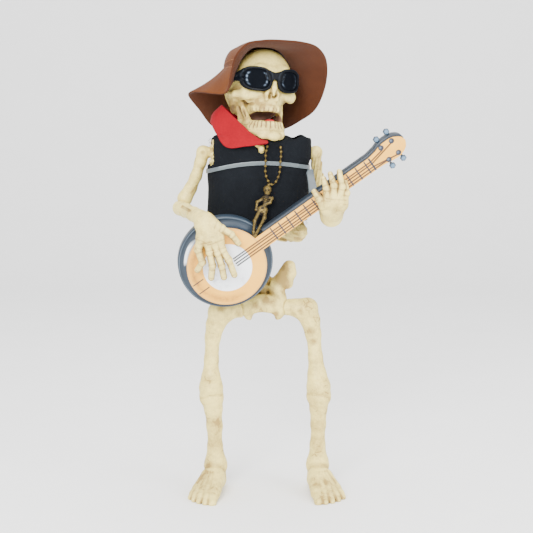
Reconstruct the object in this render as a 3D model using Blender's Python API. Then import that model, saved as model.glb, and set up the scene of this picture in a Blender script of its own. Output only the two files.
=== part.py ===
"""Day of the dead skeleton musician: a moulded bone figure with a floppy hat, dark glasses,
a neckerchief, a vest, a ball chain with a pendant, and a small banjo. All sizes are in
millimetres and become metres when a mesh is made. The figure faces -Y and +Z is up.
Bones are soft blends of tapered rods and eggs, cloth is lofted, and the banjo is turned and extruded."""
import math

import bmesh
import bpy
import numpy as np

MM = 0.001

# Where the figure's own drawing origin goes, so that the model's box is centred on the origin
FIGURE_SHIFT = (-17.7, 7.1, 0.0)

# Main sizes
HEAD_AT = (-7.0, 4.0, 362.0)
HEAD_YAW, HEAD_ROLL, HEAD_PITCH = 24.0, 5.0, 6.0
TORSO_AT = (-7.5, 1.0, 268.0)
TORSO_HALF = (40.5, 23.5, 40.5)
TORSO_ROUND = 20.0
RIB_PITCH, RIB_RELIEF = 11.0, 1.5
HIP_AT = (-3.0, 2.0)
JAW_MIDDLE = 2.3
SOLE_Z, SOLE_SNAP, SOLE_SINK = 0.0, 0.5, 2.0
FELT, CLOTH, SCARF_THICK = 1.7, 1.9, 1.5
CLEAR, LOOSE = 0.9, 0.8
BANJO_AT = (-33.5, -50.0, 211.3)
BANJO_HEAD_AT = (115.0, -52.0, 317.0)
BANJO_LEAN = 16.0
POT_RADIUS, FACE_RADIUS = 41.0, 34.2
NECK_WIDTH, NECK_DEPTH = 12.4, 8.5

BONE = (0.72, 0.64, 0.44)


def unit(v):
    v = np.asarray(v, float)
    return v / np.linalg.norm(v)


def turned(yaw, roll, pitch):
    """The head's axes: turned to the viewer's right, leaned over, and raised."""
    y, r, p = (math.radians(a) for a in (yaw, roll, pitch))
    about_z = [[math.cos(y), -math.sin(y), 0], [math.sin(y), math.cos(y), 0], [0, 0, 1]]
    about_y = [[math.cos(r), 0, math.sin(r)], [0, 1, 0], [-math.sin(r), 0, math.cos(r)]]
    about_x = [[1, 0, 0], [0, math.cos(p), math.sin(p)], [0, -math.sin(p), math.cos(p)]]
    return np.array(about_z) @ np.array(about_y) @ np.array(about_x)


HEAD_AXES = turned(HEAD_YAW, HEAD_ROLL, HEAD_PITCH)


def in_head(p):
    return (p - np.array(HEAD_AT)) @ HEAD_AXES


def from_head(q):
    return np.asarray(q, float) @ HEAD_AXES.T + np.array(HEAD_AT)


# Shapes as distances: negative inside, positive outside

def length(v):
    return np.sqrt((v * v).sum(axis=1))


def egg(p, at, radii):
    q = p - np.array(at, float)
    r = np.array(radii, float)
    near = length(q / r)
    slope = length(q / (r * r))
    return near * (near - 1.0) / np.maximum(slope, 1e-6)


def rod(p, a, b):
    """A tapered rod between two stations (x, y, z, radius)."""
    start, end = np.array(a[:3], float), np.array(b[:3], float)
    along = end - start
    t = np.clip(((p - start) @ along) / max(along @ along, 1e-9), 0.0, 1.0)
    return length(p - start - t[:, None] * along) - (a[3] + t * (b[3] - a[3]))


def blend(a, b, soft):
    h = np.clip(0.5 + 0.5 * (b - a) / soft, 0.0, 1.0)
    return b + (a - b) * h - soft * h * (1.0 - h)


def melt(parts, soft):
    whole = parts[0]
    for part in parts[1:]:
        whole = blend(whole, part, soft)
    return whole


def carve(body, tool, soft):
    return -blend(-body, tool, soft)


def limb(p, stations, soft=1.5):
    return melt([rod(p, a, b) for a, b in zip(stations, stations[1:])], soft)


def clear_of(body, others, gap):
    """Cut a body back so that it stays a gap away from each neighbour."""
    for other in others:
        body = np.maximum(body, gap - other)
    return body


def both_sides(p, middle=0.0):
    q = p.copy()
    q[:, 0] = np.abs(q[:, 0] - middle)
    return q


# Bones

def skull(q):
    m = both_sides(q)
    body = egg(q, (0, 4, 2), (27.6, 35, 30.5))
    body = blend(body, egg(q, (0, -12, 8), (23, 18.5, 23)), 5.0)
    body = blend(body, egg(q, (0, 9, -14), (19, 19, 12)), 4.0)
    body = blend(body, egg(m, (20, 5, -19), (4.6, 5.5, 8)), 2.5)
    body = carve(body, egg(m, (33, -15, 4), (9, 13, 13)), 4.0)
    body = blend(body, egg(q, (0, -19, -12.5), (14, 13.3, 13)), 3.5)
    body = blend(body, limb(m, ((0, -28, 10.5, 4), (11, -27.5, 12, 4.4), (20.5, -20.5, 8.5, 3.6))), 2.5)
    body = blend(body, rod(m, (20.5, -20.5, 8.5, 3.2), (21, -20.5, -6, 3.4)), 2.0)
    body = blend(body, limb(m, ((9, -27, -9, 3.6), (20.5, -21, -9, 4.8), (26, -11, -8.5, 3), (26.5, 4, -7, 2.5))), 2.5)
    body = blend(body, limb(m, ((0, -30, -21, 2.8), (7, -28.2, -21, 2.8), (12, -21, -21, 2.8), (13.5, -12, -20, 2.8))), 2.5)
    body = carve(body, egg(m, (11.3, -32, 2), (8.4, 11, 7.4)), 1.5)
    body = carve(body, egg(m, (21, -9, -22), (8, 11, 9)), 3.0)
    body = blend(body, rod(q, (0, -27.5, 8, 3.4), (0, -33.5, -1, 2.7)), 1.5)
    body = carve(body, melt([egg(m, (2.7, -34, -9.5), (3.2, 6, 3.8)), egg(q, (0, -34, -6), (2.6, 6, 5.5))], 1.0), 0.8)
    return carve(body, egg(q, (0, -14, -28), (10.5, 15, 8)), 1.5)


def jaw(q):
    m = both_sides(q, JAW_MIDDLE)
    front = q - np.array((JAW_MIDDLE, 0, 0))
    body = limb(m, ((22, 1, -13, 2.2), (20.6, 1, -20, 2.6), (18.2, -2, -30, 3.4), (14, -17, -38, 4), (8, -27.5, -42, 4.6),
                    (0, -30.5, -43, 4.8)), 2.0)
    body = blend(body, limb(m, ((20.5, -6, -15, 2.2), (19.4, -8, -22, 2.5), (16.5, -12, -31, 3))), 3.0)
    body = blend(body, egg(front, (0, -33, -44.5), (6.5, 4, 4)), 2.0)
    body = blend(body, limb(m, ((14.5, -16, -36.5, 3.4), (9, -26, -38.5, 3.8), (0, -30, -39, 4))), 1.5)
    body = blend(body, limb(m, ((13.5, -15, -33, 2.6), (9, -25.5, -34.4, 2.9), (0, -30, -34.6, 3))), 1.5)
    body = blend(body, egg(front, (0, -15, -40), (14, 14, 3)), 2.0)
    return clear_of(body, [skull(q)], CLEAR)


def tongue(q):
    body = egg(q, (2, -21, -32.6), (4.5, 7.5, 3.6))
    return clear_of(body, [jaw(q), skull(q)], CLEAR)


def neck(p):
    body = limb(p, ((-6, 9, 334, 5.2), (-6.5, 8, 305, 5.6)))
    rings = 0.9 * np.cos(2 * math.pi * (p[:, 2] - 305) / 7.5)
    body = body - rings
    return clear_of(body, [skull(in_head(p)), jaw(in_head(p)), ribcage(p)], CLEAR)


def ribcage(p):
    q = p - np.array(TORSO_AT)
    inner = np.array(TORSO_HALF) - TORSO_ROUND
    past = np.maximum(np.abs(q) - inner, 0.0)
    body = length(past) - TORSO_ROUND
    side = np.abs(q[:, 0])
    ribs = np.cos(2 * math.pi * (q[:, 2] + 0.32 * side - 0.25 * q[:, 1]) / RIB_PITCH)
    body = body + RIB_RELIEF * (1.0 - ribs) * np.clip(1.5 - np.abs(q[:, 2]) / 40.0, 0, 1) * 0.5
    arch = egg(q, (0, -18, -46), (20, 24, 24))
    return carve(body, arch, 2.5)


def lumbar(p):
    body = limb(p, ((-5.5, 7, 238, 6), (-4, 7, 192, 6)))
    body = body - 1.1 * np.cos(2 * math.pi * (p[:, 2] - 192) / 9.0)
    body = blend(body, rod(p, (-5.5, 14, 232, 2), (-4, 14, 200, 2)), 2.0)
    return clear_of(body, [ribcage(p), pelvis(p)], CLEAR + LOOSE / 2)


def pelvis(p):
    m = both_sides(p, HIP_AT[0])
    wing = limb(m, ((10, 6, 186, 5), (21, 1, 190, 5), (24.5, -1, 199, 4.8), (24, -1, 206, 4.4)), 2.0)
    wing = blend(wing, limb(m, ((9, 6, 186, 6), (15, 5, 193, 5.2), (21, 2, 204, 4.4))), 5.0)
    body = blend(wing, egg(m, (0, 9, 184), (10, 6, 15)), 3.0)
    body = blend(body, limb(m, ((13, 4, 184, 6), (15, 1, 168, 7.5))), 3.0)
    body = blend(body, egg(m, (0, -2, 171), (17, 8, 9.5)), 3.0)
    body = blend(body, limb(m, ((15, 2, 167, 5.8), (12.5, 1, 161.5, 4.6), (2, -5, 166, 3.4))), 2.0)
    return body


LEFT_LEG = ((17.5, 0, 168.5, 7.4), (27, 0, 168, 7.6), (36.5, 0, 167.5, 8.9), (40.6, 0, 157, 6.7), (42, 0, 143, 6.3),
            (43.8, -1, 124, 6.2), (45.3, -2, 107, 8.2), (46.6, -3, 97, 10.3), (46.9, -3, 88, 9.9), (46.7, -1, 77, 7.6),
            (46.6, 0, 61, 6.6), (46.2, 2, 42, 6.5), (46.5, 4, 28, 9))
RIGHT_LEG = ((-23.5, 0, 166.5, 7.4), (-33, 0, 165.5, 7.6), (-43, 0, 163.5, 8.9), (-47, 0, 153, 6.6), (-48.3, 0, 140, 6.3),
             (-49.3, -1, 121, 6.1), (-49.8, -2, 105, 8), (-49.6, -3, 96, 10.2), (-49, -3, 87, 9.9), (-47.8, -1, 76, 7.8),
             (-46.9, 0, 60, 6.7), (-46.6, 2, 41, 6.6), (-46.3, 4, 28, 9))
LEFT_TOES = ((45.5, -44), (51.5, -43.5), (57.5, -40.5), (63, -35.5), (67.5, -29))
RIGHT_TOES = ((-47.5, -46), (-53.5, -45), (-59, -41.5), (-63.5, -36.5), (-67, -30))


def foot(p, ankle, toes):
    x, y, z = ankle
    lean = math.copysign(1.0, x)
    body = limb(p, ((x, y, z, 8.6), (x - lean, y + 7, 9, 8.8)), 3.0)
    big_toe = toes[0]
    body = blend(body, rod(p, (x - 1.5 * lean, y - 7, 15, 8), (big_toe[0] - lean, big_toe[1] + 15, 8, 5.6)), 3.0)
    for i, (tx, ty) in enumerate(toes):
        big = 1.0 if i == 0 else 0.0
        instep = (x + 0.3 * (tx - x), y - 8, 18 - i, 8)
        root = (x + 0.72 * (tx - x), y + 0.55 * (ty - y), 10 - 0.6 * i, 5.6)
        knuckle = (x + 0.9 * (tx - x), y + 0.8 * (ty - y), 5.8, 3.7 + 0.6 * big)
        tip = (tx, ty + 3.2, 3.6, 3.0 + 0.7 * big)
        body = blend(body, rod(p, instep, root), 3.0)
        body = blend(body, limb(p, (root, knuckle, tip), 1.0), 1.2)
    return body


def leg(p, stations, toes):
    body = limb(p, stations, 3.0)
    knee = stations[7]
    groove = egg(p, (knee[0], knee[1] - 11.5, knee[2] - 5), (14, 3.2, 1.6))
    sunk = p + np.array((0, 0, SOLE_SINK))
    body = blend(body, foot(sunk, stations[-1][:3], toes), 3.0)
    body = carve(body, groove, 1.5)
    body = clear_of(body, [pelvis(p)], CLEAR)
    return np.maximum(body, SOLE_Z - p[:, 2])


RIGHT_UPPER_ARM = ((-55.5, 0, 306, 5.8), (-58, 0, 297, 4.9), (-62, 1, 285, 4.8), (-67, 2, 274, 5.2), (-72, 2, 265.5, 6.8))
RIGHT_FOREARM = ((-76, -1, 257, 6.8), (-70, -18, 256.5, 6), (-62, -42, 255.5, 6), (-55, -56, 253.5, 7))
LEFT_UPPER_ARM = ((43.4, 0, 306, 5.4), (44, 8, 295, 4.5), (46.5, 17, 282, 4.7), (49, 25, 271, 5.8), (50, 28, 266, 6.6))
LEFT_FOREARM = ((51.5, 27, 257, 6.2), (53, 12, 252, 5.6), (54.6, -8, 248.5, 5.8), (55.5, -24, 248, 6.8))
SHOULDER_IN = 11.0


def upper_arm(p, stations):
    top = stations[0]
    inward = (top[0] - math.copysign(SHOULDER_IN, top[0]), top[1], top[2], 3.6)
    body = blend(limb(p, stations, 2.5), rod(p, top, inward), 1.5)
    return clear_of(body, [ribcage(p)], CLEAR)


def forearm(p, stations, upper):
    return clear_of(limb(p, stations, 2.5), [upper_arm(p, upper)], CLEAR)


# Each hand has a wrist, and five fingers as stations from the knuckle to the tip
RIGHT_WRIST = (-51.5, -62.5, 250.5, 6.3)
RIGHT_FINGERS = (
    ((-54, -65, 238, 4.6), (-57, -66, 228, 3.7), (-53.5, -66.5, 217.5, 3.1), (-58, -60.5, 210, 2.8)),
    ((-49.5, -66, 236.5, 4.8), (-47.3, -67, 226, 3.8), (-45.2, -67, 214.5, 3.2), (-46.5, -60.5, 203.5, 2.9)),
    ((-44.5, -66.5, 236.5, 4.8), (-41, -67, 225.5, 3.8), (-37.6, -66.5, 214.5, 3.2), (-35.8, -60.5, 204, 2.9)),
    ((-40, -66, 238, 4.6), (-37, -66.5, 228, 3.8), (-31.8, -66, 219.5, 3.2), (-27, -60.5, 206, 2.9)),
    ((-44, -63.5, 248, 4.8), (-37.5, -64, 245.5, 4.1), (-29.5, -63.5, 240.5, 3.4), (-23.6, -60, 232.5, 3)))
LEFT_WRIST = (55.3, -37, 250.5, 6.3)
LEFT_FINGERS = (
    ((50, -58, 262, 4.8), (44, -62, 270, 3.8), (40, -60.5, 276, 3.1)),
    ((51, -61.5, 267, 4.6), (50, -64, 279, 3.6), (47.5, -61.5, 287, 3)),
    ((55.5, -62.5, 268, 4.8), (56, -65, 281, 3.6), (53, -62, 291, 3)),
    ((60, -62, 268, 4.6), (62.5, -64.5, 280, 3.6), (60.5, -62, 293, 3)),
    ((63.5, -59.5, 265, 4.4), (66.5, -62.5, 275, 3.4), (65.5, -60, 284, 2.8)))


def hand(p, wrist, fingers, arm):
    body = rod(p, wrist, wrist)
    for finger in fingers:
        body = blend(body, rod(p, wrist, finger[0]), 3.0)
        body = blend(body, limb(p, finger, 1.0), 1.2)
    return clear_of(body, [forearm(p, *arm), banjo_room(p)], CLEAR)


# The banjo's own axes: along its neck, across it, and out of its face

ALONG = unit(np.array(BANJO_HEAD_AT) - np.array(BANJO_AT))
FACE_OUT = np.array((0.0, -math.cos(math.radians(BANJO_LEAN)), -math.sin(math.radians(BANJO_LEAN))))
FACE_OUT = unit(FACE_OUT - ALONG * (FACE_OUT @ ALONG))
ACROSS = np.cross(FACE_OUT, ALONG)
BANJO_AXES = np.stack((ALONG, ACROSS, FACE_OUT), axis=1)


def in_banjo(p):
    return (p - np.array(BANJO_AT)) @ BANJO_AXES


def from_banjo(q):
    return np.asarray(q, float) @ BANJO_AXES.T + np.array(BANJO_AT)


def slab(q, low, high):
    middle = (np.array(low, float) + np.array(high, float)) / 2
    half = (np.array(high, float) - np.array(low, float)) / 2
    past = np.abs(q - middle) - half
    return length(np.maximum(past, 0.0)) + np.minimum(past.max(axis=1), 0.0)


def banjo_room(p):
    """The space that the banjo takes up, for the hands to stay clear of."""
    q = in_banjo(p)
    radial = np.hypot(q[:, 0], q[:, 1]) - POT_RADIUS
    drum = np.maximum(radial, np.abs(q[:, 2] + 17) - 6.0)
    face = np.maximum(radial + POT_RADIUS - FACE_RADIUS, np.abs(q[:, 2] + 8) - 8.0)
    pot = np.minimum(drum, face)
    neck_room = slab(q, (30, -NECK_WIDTH / 2, -NECK_DEPTH - 1.8), (150, NECK_WIDTH / 2, 0))
    return np.minimum(pot, neck_room)


# From a distance to a mesh: each cube of a grid is cut into six tetrahedra, and the surface
# crosses each of them in one flat triangle or four-sided face, so the mesh is always closed

TETRAHEDRA = ((0, 1, 2), (1, 2, 0), (2, 0, 1), (0, 2, 1), (1, 0, 2), (2, 1, 0))
ONE_INSIDE = ((0, 1, 2, 3), (1, 0, 3, 2), (2, 0, 1, 3), (3, 0, 2, 1))
TWO_INSIDE = ((0, 1, 2, 3), (0, 2, 3, 1), (0, 3, 1, 2), (1, 2, 0, 3), (1, 3, 2, 0), (2, 3, 0, 1))


def tetrahedra(count, values):
    """The corners of every tetrahedron in the cubes that the surface crosses, all turned one way."""
    step = (count[1] * count[2], count[2], 1)
    inside = values.reshape(count) < 0
    views = [inside[i:count[0] - 1 + i, j:count[1] - 1 + j, k:count[2] - 1 + k]
             for i in (0, 1) for j in (0, 1) for k in (0, 1)]
    mixed = np.logical_or.reduce(views) & ~np.logical_and.reduce(views)
    first = np.argwhere(mixed) @ np.array(step)
    corners = []
    for number, (a, b, c) in enumerate(TETRAHEDRA):
        one, two, three = first + step[a], first + step[a] + step[b], first + sum(step)
        corners.append(np.stack((first, one, two, three) if number < 3 else (first, two, one, three), axis=1))
    return np.concatenate(corners)


def surface(field, low, high, step):
    low, high = np.array(low, float), np.array(high, float)
    count = np.ceil((high - low) / step).astype(int) + 1
    axes = [low[n] + step * np.arange(count[n]) for n in range(3)]
    grid = np.stack(np.meshgrid(*axes, indexing="ij"), axis=-1).reshape(-1, 3)
    values = field(grid)
    corners = tetrahedra(count, values)
    inside = values[corners] < 0
    number_inside = inside.sum(axis=1)
    loops = []
    for a, b, c, d in ONE_INSIDE:
        alone = corners[(number_inside == 1) & inside[:, a]][:, [a, b, c, d]]
        loops.append([(alone[:, 0], alone[:, n]) for n in (1, 2, 3)])
        alone = corners[(number_inside == 3) & ~inside[:, a]][:, [a, b, c, d]]
        loops.append([(alone[:, 0], alone[:, n]) for n in (3, 2, 1)])
    for a, b, c, d in TWO_INSIDE:
        pair = corners[(number_inside == 2) & inside[:, a] & inside[:, b]][:, [a, b, c, d]]
        loops.append([(pair[:, 0], pair[:, 2]), (pair[:, 0], pair[:, 3]), (pair[:, 1], pair[:, 3])])
        loops.append([(pair[:, 0], pair[:, 2]), (pair[:, 1], pair[:, 3]), (pair[:, 1], pair[:, 2])])
    edges = np.concatenate([np.stack([np.stack(edge, axis=1) for edge in loop], axis=1) for loop in loops])
    flat = np.sort(edges.reshape(-1, 2), axis=1)
    used, renumbered = np.unique(flat, axis=0, return_inverse=True)
    start, end = values[used[:, 0]], values[used[:, 1]]
    share = np.clip(start / (start - end), 0.04, 0.96)[:, None]
    points = grid[used[:, 0]] * (1 - share) + grid[used[:, 1]] * share
    return points, renumbered.reshape(-1, 3)


def settled(field, points, rounds=3, reach=0.05):
    """Slide mesh points onto the exact surface."""
    for _ in range(rounds):
        value = field(points)
        slope = np.stack([(field(points + reach * axis) - field(points - reach * axis)) / (2 * reach)
                          for axis in np.eye(3)], axis=1)
        points = points - 0.8 * (value / np.maximum((slope * slope).sum(axis=1), 0.2))[:, None] * slope
    return points


# Blender objects

def coloured(name, colour, roughness=0.55, metallic=0.0, alpha=1.0):
    material = bpy.data.materials.get(name) or bpy.data.materials.new(name)
    material.use_nodes = True
    shader = material.node_tree.nodes["Principled BSDF"]
    shader.inputs["Base Color"].default_value = (*colour, 1.0)
    shader.inputs["Roughness"].default_value = roughness
    shader.inputs["Metallic"].default_value = metallic
    shader.inputs["Alpha"].default_value = alpha
    return material


def shown(name, points, faces, material, budget=None, smooth=True):
    """Make an object from points in millimetres, thinned to a budget of triangles."""
    mesh = bpy.data.meshes.new(name)
    placed = (np.asarray(points, float) + np.array(FIGURE_SHIFT)) * MM
    mesh.from_pydata(placed.tolist(), [], [list(map(int, face)) for face in faces])
    mesh.materials.append(material)
    thing = bpy.data.objects.new(name, mesh)
    bpy.context.collection.objects.link(thing)
    if smooth:
        mesh.shade_smooth()
    if budget:
        triangles = sum(len(face) - 2 for face in faces)
        thin = thing.modifiers.new("Thin", "DECIMATE")
        thin.ratio = min(1.0, budget / triangles)
        thin.use_collapse_triangulate = True
    return thing


def largest(points, faces):
    """The biggest connected piece: crumbs that a cut leaves behind are dropped."""
    label = np.arange(len(points))
    while True:
        low = label[faces].min(axis=1)
        new = label.copy()
        for n in range(3):
            np.minimum.at(new, faces[:, n], low)
        new = new[new]
        if (new == label).all():
            break
        label = new
    kept = faces[label[faces[:, 0]] == np.bincount(label).argmax()]
    used, renumbered = np.unique(kept, return_inverse=True)
    return points[used], renumbered.reshape(kept.shape)


def bone(name, field, low, high, budget, step=1.5, material=None, place=None):
    points, faces = largest(*surface(field, low, high, step))
    points = settled(field, points)
    if place:
        points = place(points)
    return shown(name, points, faces, material or coloured("bone", BONE, 0.5), budget)


def rounded(stations, count, loop=True):
    """A smooth curve through stations, as evenly numbered points; a loop comes back to its start."""
    stations = np.asarray(stations, float)
    n = len(stations)
    out = []
    for i in range(count):
        s = i * n / count if loop else i * (n - 1) / (count - 1)
        k = min(int(s), n - 1 if loop else n - 2)
        f = s - k
        near = [(k + j - 1) % n if loop else min(max(k + j - 1, 0), n - 1) for j in range(4)]
        a, b, c, d = (stations[j] for j in near)
        out.append(0.5 * (2 * b + (c - a) * f + (2 * a - 5 * b + 4 * c - d) * f * f
                          + (3 * b - a - 3 * c + d) * f ** 3))
    return np.array(out)


def outward(rows, loop=True):
    """Normals of a grid of points, rows by columns."""
    along = np.gradient(rows, axis=0)
    around = np.roll(rows, -1, axis=1) - np.roll(rows, 1, axis=1) if loop else np.gradient(rows, axis=1)
    normal = np.cross(around, along)
    return normal / np.maximum(np.linalg.norm(normal, axis=2, keepdims=True), 1e-9)


def pushed(points, obstacle, gap, rounds=6, reach=0.3):
    """Move points away from an obstacle until they are a gap away from it."""
    flat = points.reshape(-1, 3).copy()
    for _ in range(rounds):
        value = obstacle(flat)
        slope = np.stack([obstacle(flat + reach * axis) - obstacle(flat - reach * axis)
                          for axis in np.eye(3)], axis=1)
        slope = slope / np.maximum(length(slope), 1e-6)[:, None]
        flat = flat + slope * np.clip(gap - value, 0.0, 4.0)[:, None]
    return flat.reshape(points.shape)


def sheet_solid(rows, thick, tip=None, loop=True):
    """A closed shell from a grid of points: an outer and an inner skin, joined at every open rim."""
    normal = outward(rows, loop)
    down, across = rows.shape[:2]
    size = down * across
    points = [(rows + side * normal * thick / 2).reshape(-1, 3) for side in (1, -1)]
    if tip is not None:
        lift = unit(np.cross(rows[0][1] - rows[0][0], rows[0][across // 3] - rows[0][0]))
        points.append(np.array([tip - lift * thick / 2, tip + lift * thick / 2]))
    columns = [(j, (j + 1) % across) for j in range(across if loop else across - 1)]
    faces = []
    for i in range(down - 1):
        for j, k in columns:
            quad = [i * across + j, i * across + k, (i + 1) * across + k, (i + 1) * across + j]
            faces.append(quad[::-1])
            faces.append([size + corner for corner in quad])
    if tip is not None:
        faces += [[j, k, 2 * size] for j, k in columns]
        faces += [[size + k, size + j, 2 * size + 1] for j, k in columns]
    for i in ([down - 1] if tip is not None else [0, down - 1]):
        faces += [[i * across + j, i * across + k, size + i * across + k, size + i * across + j] for j, k in columns]
    for j in (() if loop else (0, across - 1)):
        spots = [i * across + j for i in range(down)]
        faces += [[a, b, size + b, size + a] for a, b in zip(spots, spots[1:])]
    return np.concatenate(points), faces


def faced_out(thing):
    shape = bmesh.new()
    shape.from_mesh(thing.data)
    bmesh.ops.recalc_face_normals(shape, faces=shape.faces)
    shape.to_mesh(thing.data)
    shape.free()


def loft(name, rows, thick, material, budget, tip=None, loop=True):
    points, faces = sheet_solid(rows, thick, tip, loop)
    thing = shown(name, points, faces, material, budget)
    faced_out(thing)
    return thing


def stand_flat(thing):
    """Thin the mesh for good and put its lowest points exactly on the floor."""
    mesh = bpy.data.meshes.new_from_object(thing.evaluated_get(bpy.context.evaluated_depsgraph_get()))
    for vertex in mesh.vertices:
        if vertex.co.z < (SOLE_Z + SOLE_SNAP) * MM:
            vertex.co.z = SOLE_Z * MM
    thing.modifiers.clear()
    thing.data = mesh


# Hat: each station is a place on the brim's edge and the place above it where crown and brim meet
HAT_STATIONS = (
    ((11, -45, 401), (4, -20, 395)), ((31, -38, 400), (13, -13, 391)), ((44, -28, 396), (18.5, -6, 386)),
    ((52, -15, 384), (22.5, 2, 379)), ((52, 0, 364), (24.5, 10, 370)), ((44, 15, 344), (23.5, 20, 360)),
    ((30, 25, 333), (20, 30, 349)), ((16, 40, 325), (12, 38, 339)), ((-4, 54.5, 322), (-4, 43, 335)),
    ((-29, 56.1, 324), (-20, 43, 338)), ((-48, 42, 327), (-30, 37, 347)), ((-60, 27, 342), (-35, 30, 357)),
    ((-69, 9, 356), (-37, 16, 369)), ((-56, -8, 358), (-37, 5, 377)), ((-45, -18, 357), (-35, -4, 382)),
    ((-34, -27, 358), (-32, -9, 386)), ((-30, -34, 374), (-29, -13, 390)), ((-26, -40, 389), (-22, -18, 394)),
    ((-16, -45, 399), (-12, -21, 396)), ((-3, -46, 401), (-4, -22, 396)))
CROWN_POLE = unit((-0.25, 0.75, 0.6))
CROWN_AT, CROWN_EGG = (0, 4, 2), (31.6, 39.2, 34.5)
BRIM_SAG = 2.5


def crown_reach(way):
    """How far the crown's egg is from its middle, in a direction."""
    return 1 / np.linalg.norm(way @ HEAD_AXES / np.array(CROWN_EGG), axis=-1, keepdims=True)


def hat_rows(around, crown_rows, brim_rows):
    edge = rounded([station[0] for station in HAT_STATIONS], around)
    join = rounded([station[1] for station in HAT_STATIONS], around)
    middle = from_head(CROWN_AT)
    join_far = np.linalg.norm(join - middle, axis=1, keepdims=True)
    join_way = (join - middle) / join_far
    angle = np.arccos(join_way @ CROWN_POLE)[:, None]
    rows = []
    for i in range(1, crown_rows + 1):
        s = i / crown_rows
        way = (np.sin((1 - s) * angle) * CROWN_POLE + np.sin(s * angle) * join_way) / np.sin(angle)
        rows.append(middle + way * (crown_reach(way) * (1 - s ** 3) + join_far * s ** 3))
    for i in range(1, brim_rows + 1):
        v = i / brim_rows
        rows.append(join + (edge - join) * v - CROWN_POLE * BRIM_SAG * math.sin(math.pi * v))
    return np.array(rows), middle + CROWN_POLE * crown_reach(CROWN_POLE)


def hat():
    felt = coloured("felt", (0.36, 0.14, 0.05), 0.95)
    rows, tip = hat_rows(40, 6, 5)
    rows = pushed(rows, lambda p: skull(in_head(p)), FELT / 2 + CLEAR + 2 * LOOSE)
    loft("hat", rows, FELT, felt, 900, tip)


# Glasses, drawn in the head's axes: a curved front with two lens openings, and two temples
LENS_AT, LENS_HALF = (14.4, 2.9), (9.6, 8.2)
FRAME_RIM = 2.2


def glasses_front(q):
    return -37.6 + 0.017 * q[:, 0] ** 2


def lens_outline(q):
    m = both_sides(q)
    across = (m[:, 0] - LENS_AT[0]) / LENS_HALF[0]
    up = (m[:, 2] - LENS_AT[1] - 0.09 * (m[:, 0] - LENS_AT[0])) / LENS_HALF[1]
    ring = (np.abs(across) ** 2.6 + np.abs(up) ** 2.6) ** (1 / 2.6)
    return (ring - 1.0) * min(LENS_HALF)


def frame(q):
    m = both_sides(q)
    deep = np.abs(q[:, 1] - glasses_front(q)) - 1.3
    rim = np.maximum(np.maximum(lens_outline(q) - FRAME_RIM, -lens_outline(q)), deep)
    bridge = limb(m, ((0, -37.2, 6, 2), (4, -37, 6.6, 2.2)))
    temple = limb(m, ((25, -26.8, 6, 2.6), (29, -20, 4.6, 2.4), (30.5, 3, 0, 1.6), (29.5, 10, -5, 1.4)), 1.0)
    body = melt([rim, bridge, temple], 0.8)
    return clear_of(body, [skull(q)], 0.7)


def lens(q, side):
    deep = np.abs(q[:, 1] - glasses_front(q) - 0.2) - 0.75
    body = np.maximum(np.maximum(lens_outline(q) + 1.0, deep), -side * q[:, 0])
    return clear_of(body, [skull(q)], 0.7)


def glasses():
    black = coloured("glossy black", (0.012, 0.012, 0.014), 0.12)
    dark = coloured("dark lens", (0.01, 0.012, 0.02), 0.05)
    bone("sunglasses_frame", frame, (-35, -42, -14), (35, 15, 18), 340, 0.9, black, from_head)
    bone("lens_right", lambda q: lens(q, -1), (-28, -40, -8), (2, -26, 14), 70, 0.8, dark, from_head)
    bone("lens_left", lambda q: lens(q, 1), (-2, -40, -8), (28, -26, 14), 70, 0.8, dark, from_head)


# Neckerchief: its upper and lower edges, station by station, from the front round the back to the right
SCARF_TOP = ((1, -30, 317), (-12, -31, 319), (-25, -24, 329), (-37, -6, 345), (-35, 14, 344), (-20, 28, 334),
             (-4, 31, 329), (11, 25, 326))
SCARF_LOW = ((0.5, -32, 314), (-18, -32.5, 312), (-36, -25, 311), (-48, -7, 322), (-46, 14, 322), (-26, 30, 320),
             (-4, 33, 319), (14, 28, 319))


def scarf_rows(across, down):
    top, low = rounded(SCARF_TOP, across, False), rounded(SCARF_LOW, across, False)
    centre = np.array((-8.0, 2.0, 0.0))
    rows = []
    for i in range(down + 1):
        v = i / down
        row = top + (low - top) * v
        away = (row - centre) * np.array((1.0, 1.0, 0.0))
        away = away / np.linalg.norm(away, axis=1, keepdims=True)
        rows.append(row + away * 2.5 * math.sin(math.pi * v))
    return np.array(rows)


def around_the_neck(p):
    q = in_head(p)
    return np.minimum.reduce([skull(q), jaw(q), neck(p), chain_room(p), vest_wall(p) - CLOTH / 2])


def scarf():
    cloth = coloured("red cloth", (0.62, 0.07, 0.08), 0.9)
    rows = pushed(scarf_rows(30, 3), around_the_neck, SCARF_THICK / 2 + CLEAR + LOOSE)
    loft("neckerchief", rows, SCARF_THICK, cloth, None, None, False)


# Vest: a cloth box around the ribs, open at the neck, the arms and below
VEST_HALF, VEST_ROUND = (43.2, 26.6), 18.0
VEST_TOP, VEST_HEM = 320.0, 245.0


def vest_wall(p):
    x, y, z = (p - np.array((TORSO_AT[0], TORSO_AT[1], VEST_TOP))).T
    past = np.stack((np.abs(x) - VEST_HALF[0] + VEST_ROUND, np.abs(y) - VEST_HALF[1] + VEST_ROUND), axis=1)
    wall = length(np.maximum(past, 0.0)) + np.minimum(past.max(axis=1), 0.0) - VEST_ROUND
    return carve(wall, -z, 9.0)


def vest(p):
    body = np.abs(vest_wall(p)) - CLOTH / 2
    neck_hole = egg(p, (-7, -2, 326), (27, 23, 22))
    body = np.maximum(body, -np.minimum(neck_hole, egg(p, (4, -28, 321), (15, 13, 15))))
    for x in (-52.0, 37.0):
        body = np.maximum(body, -egg(p, (x, 0, 302), (13, 11, 14)))
    hem = VEST_HEM + 2.0 * np.cos(p[:, 0] / 9.0) - p[:, 2]
    return np.maximum(body, hem)


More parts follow.
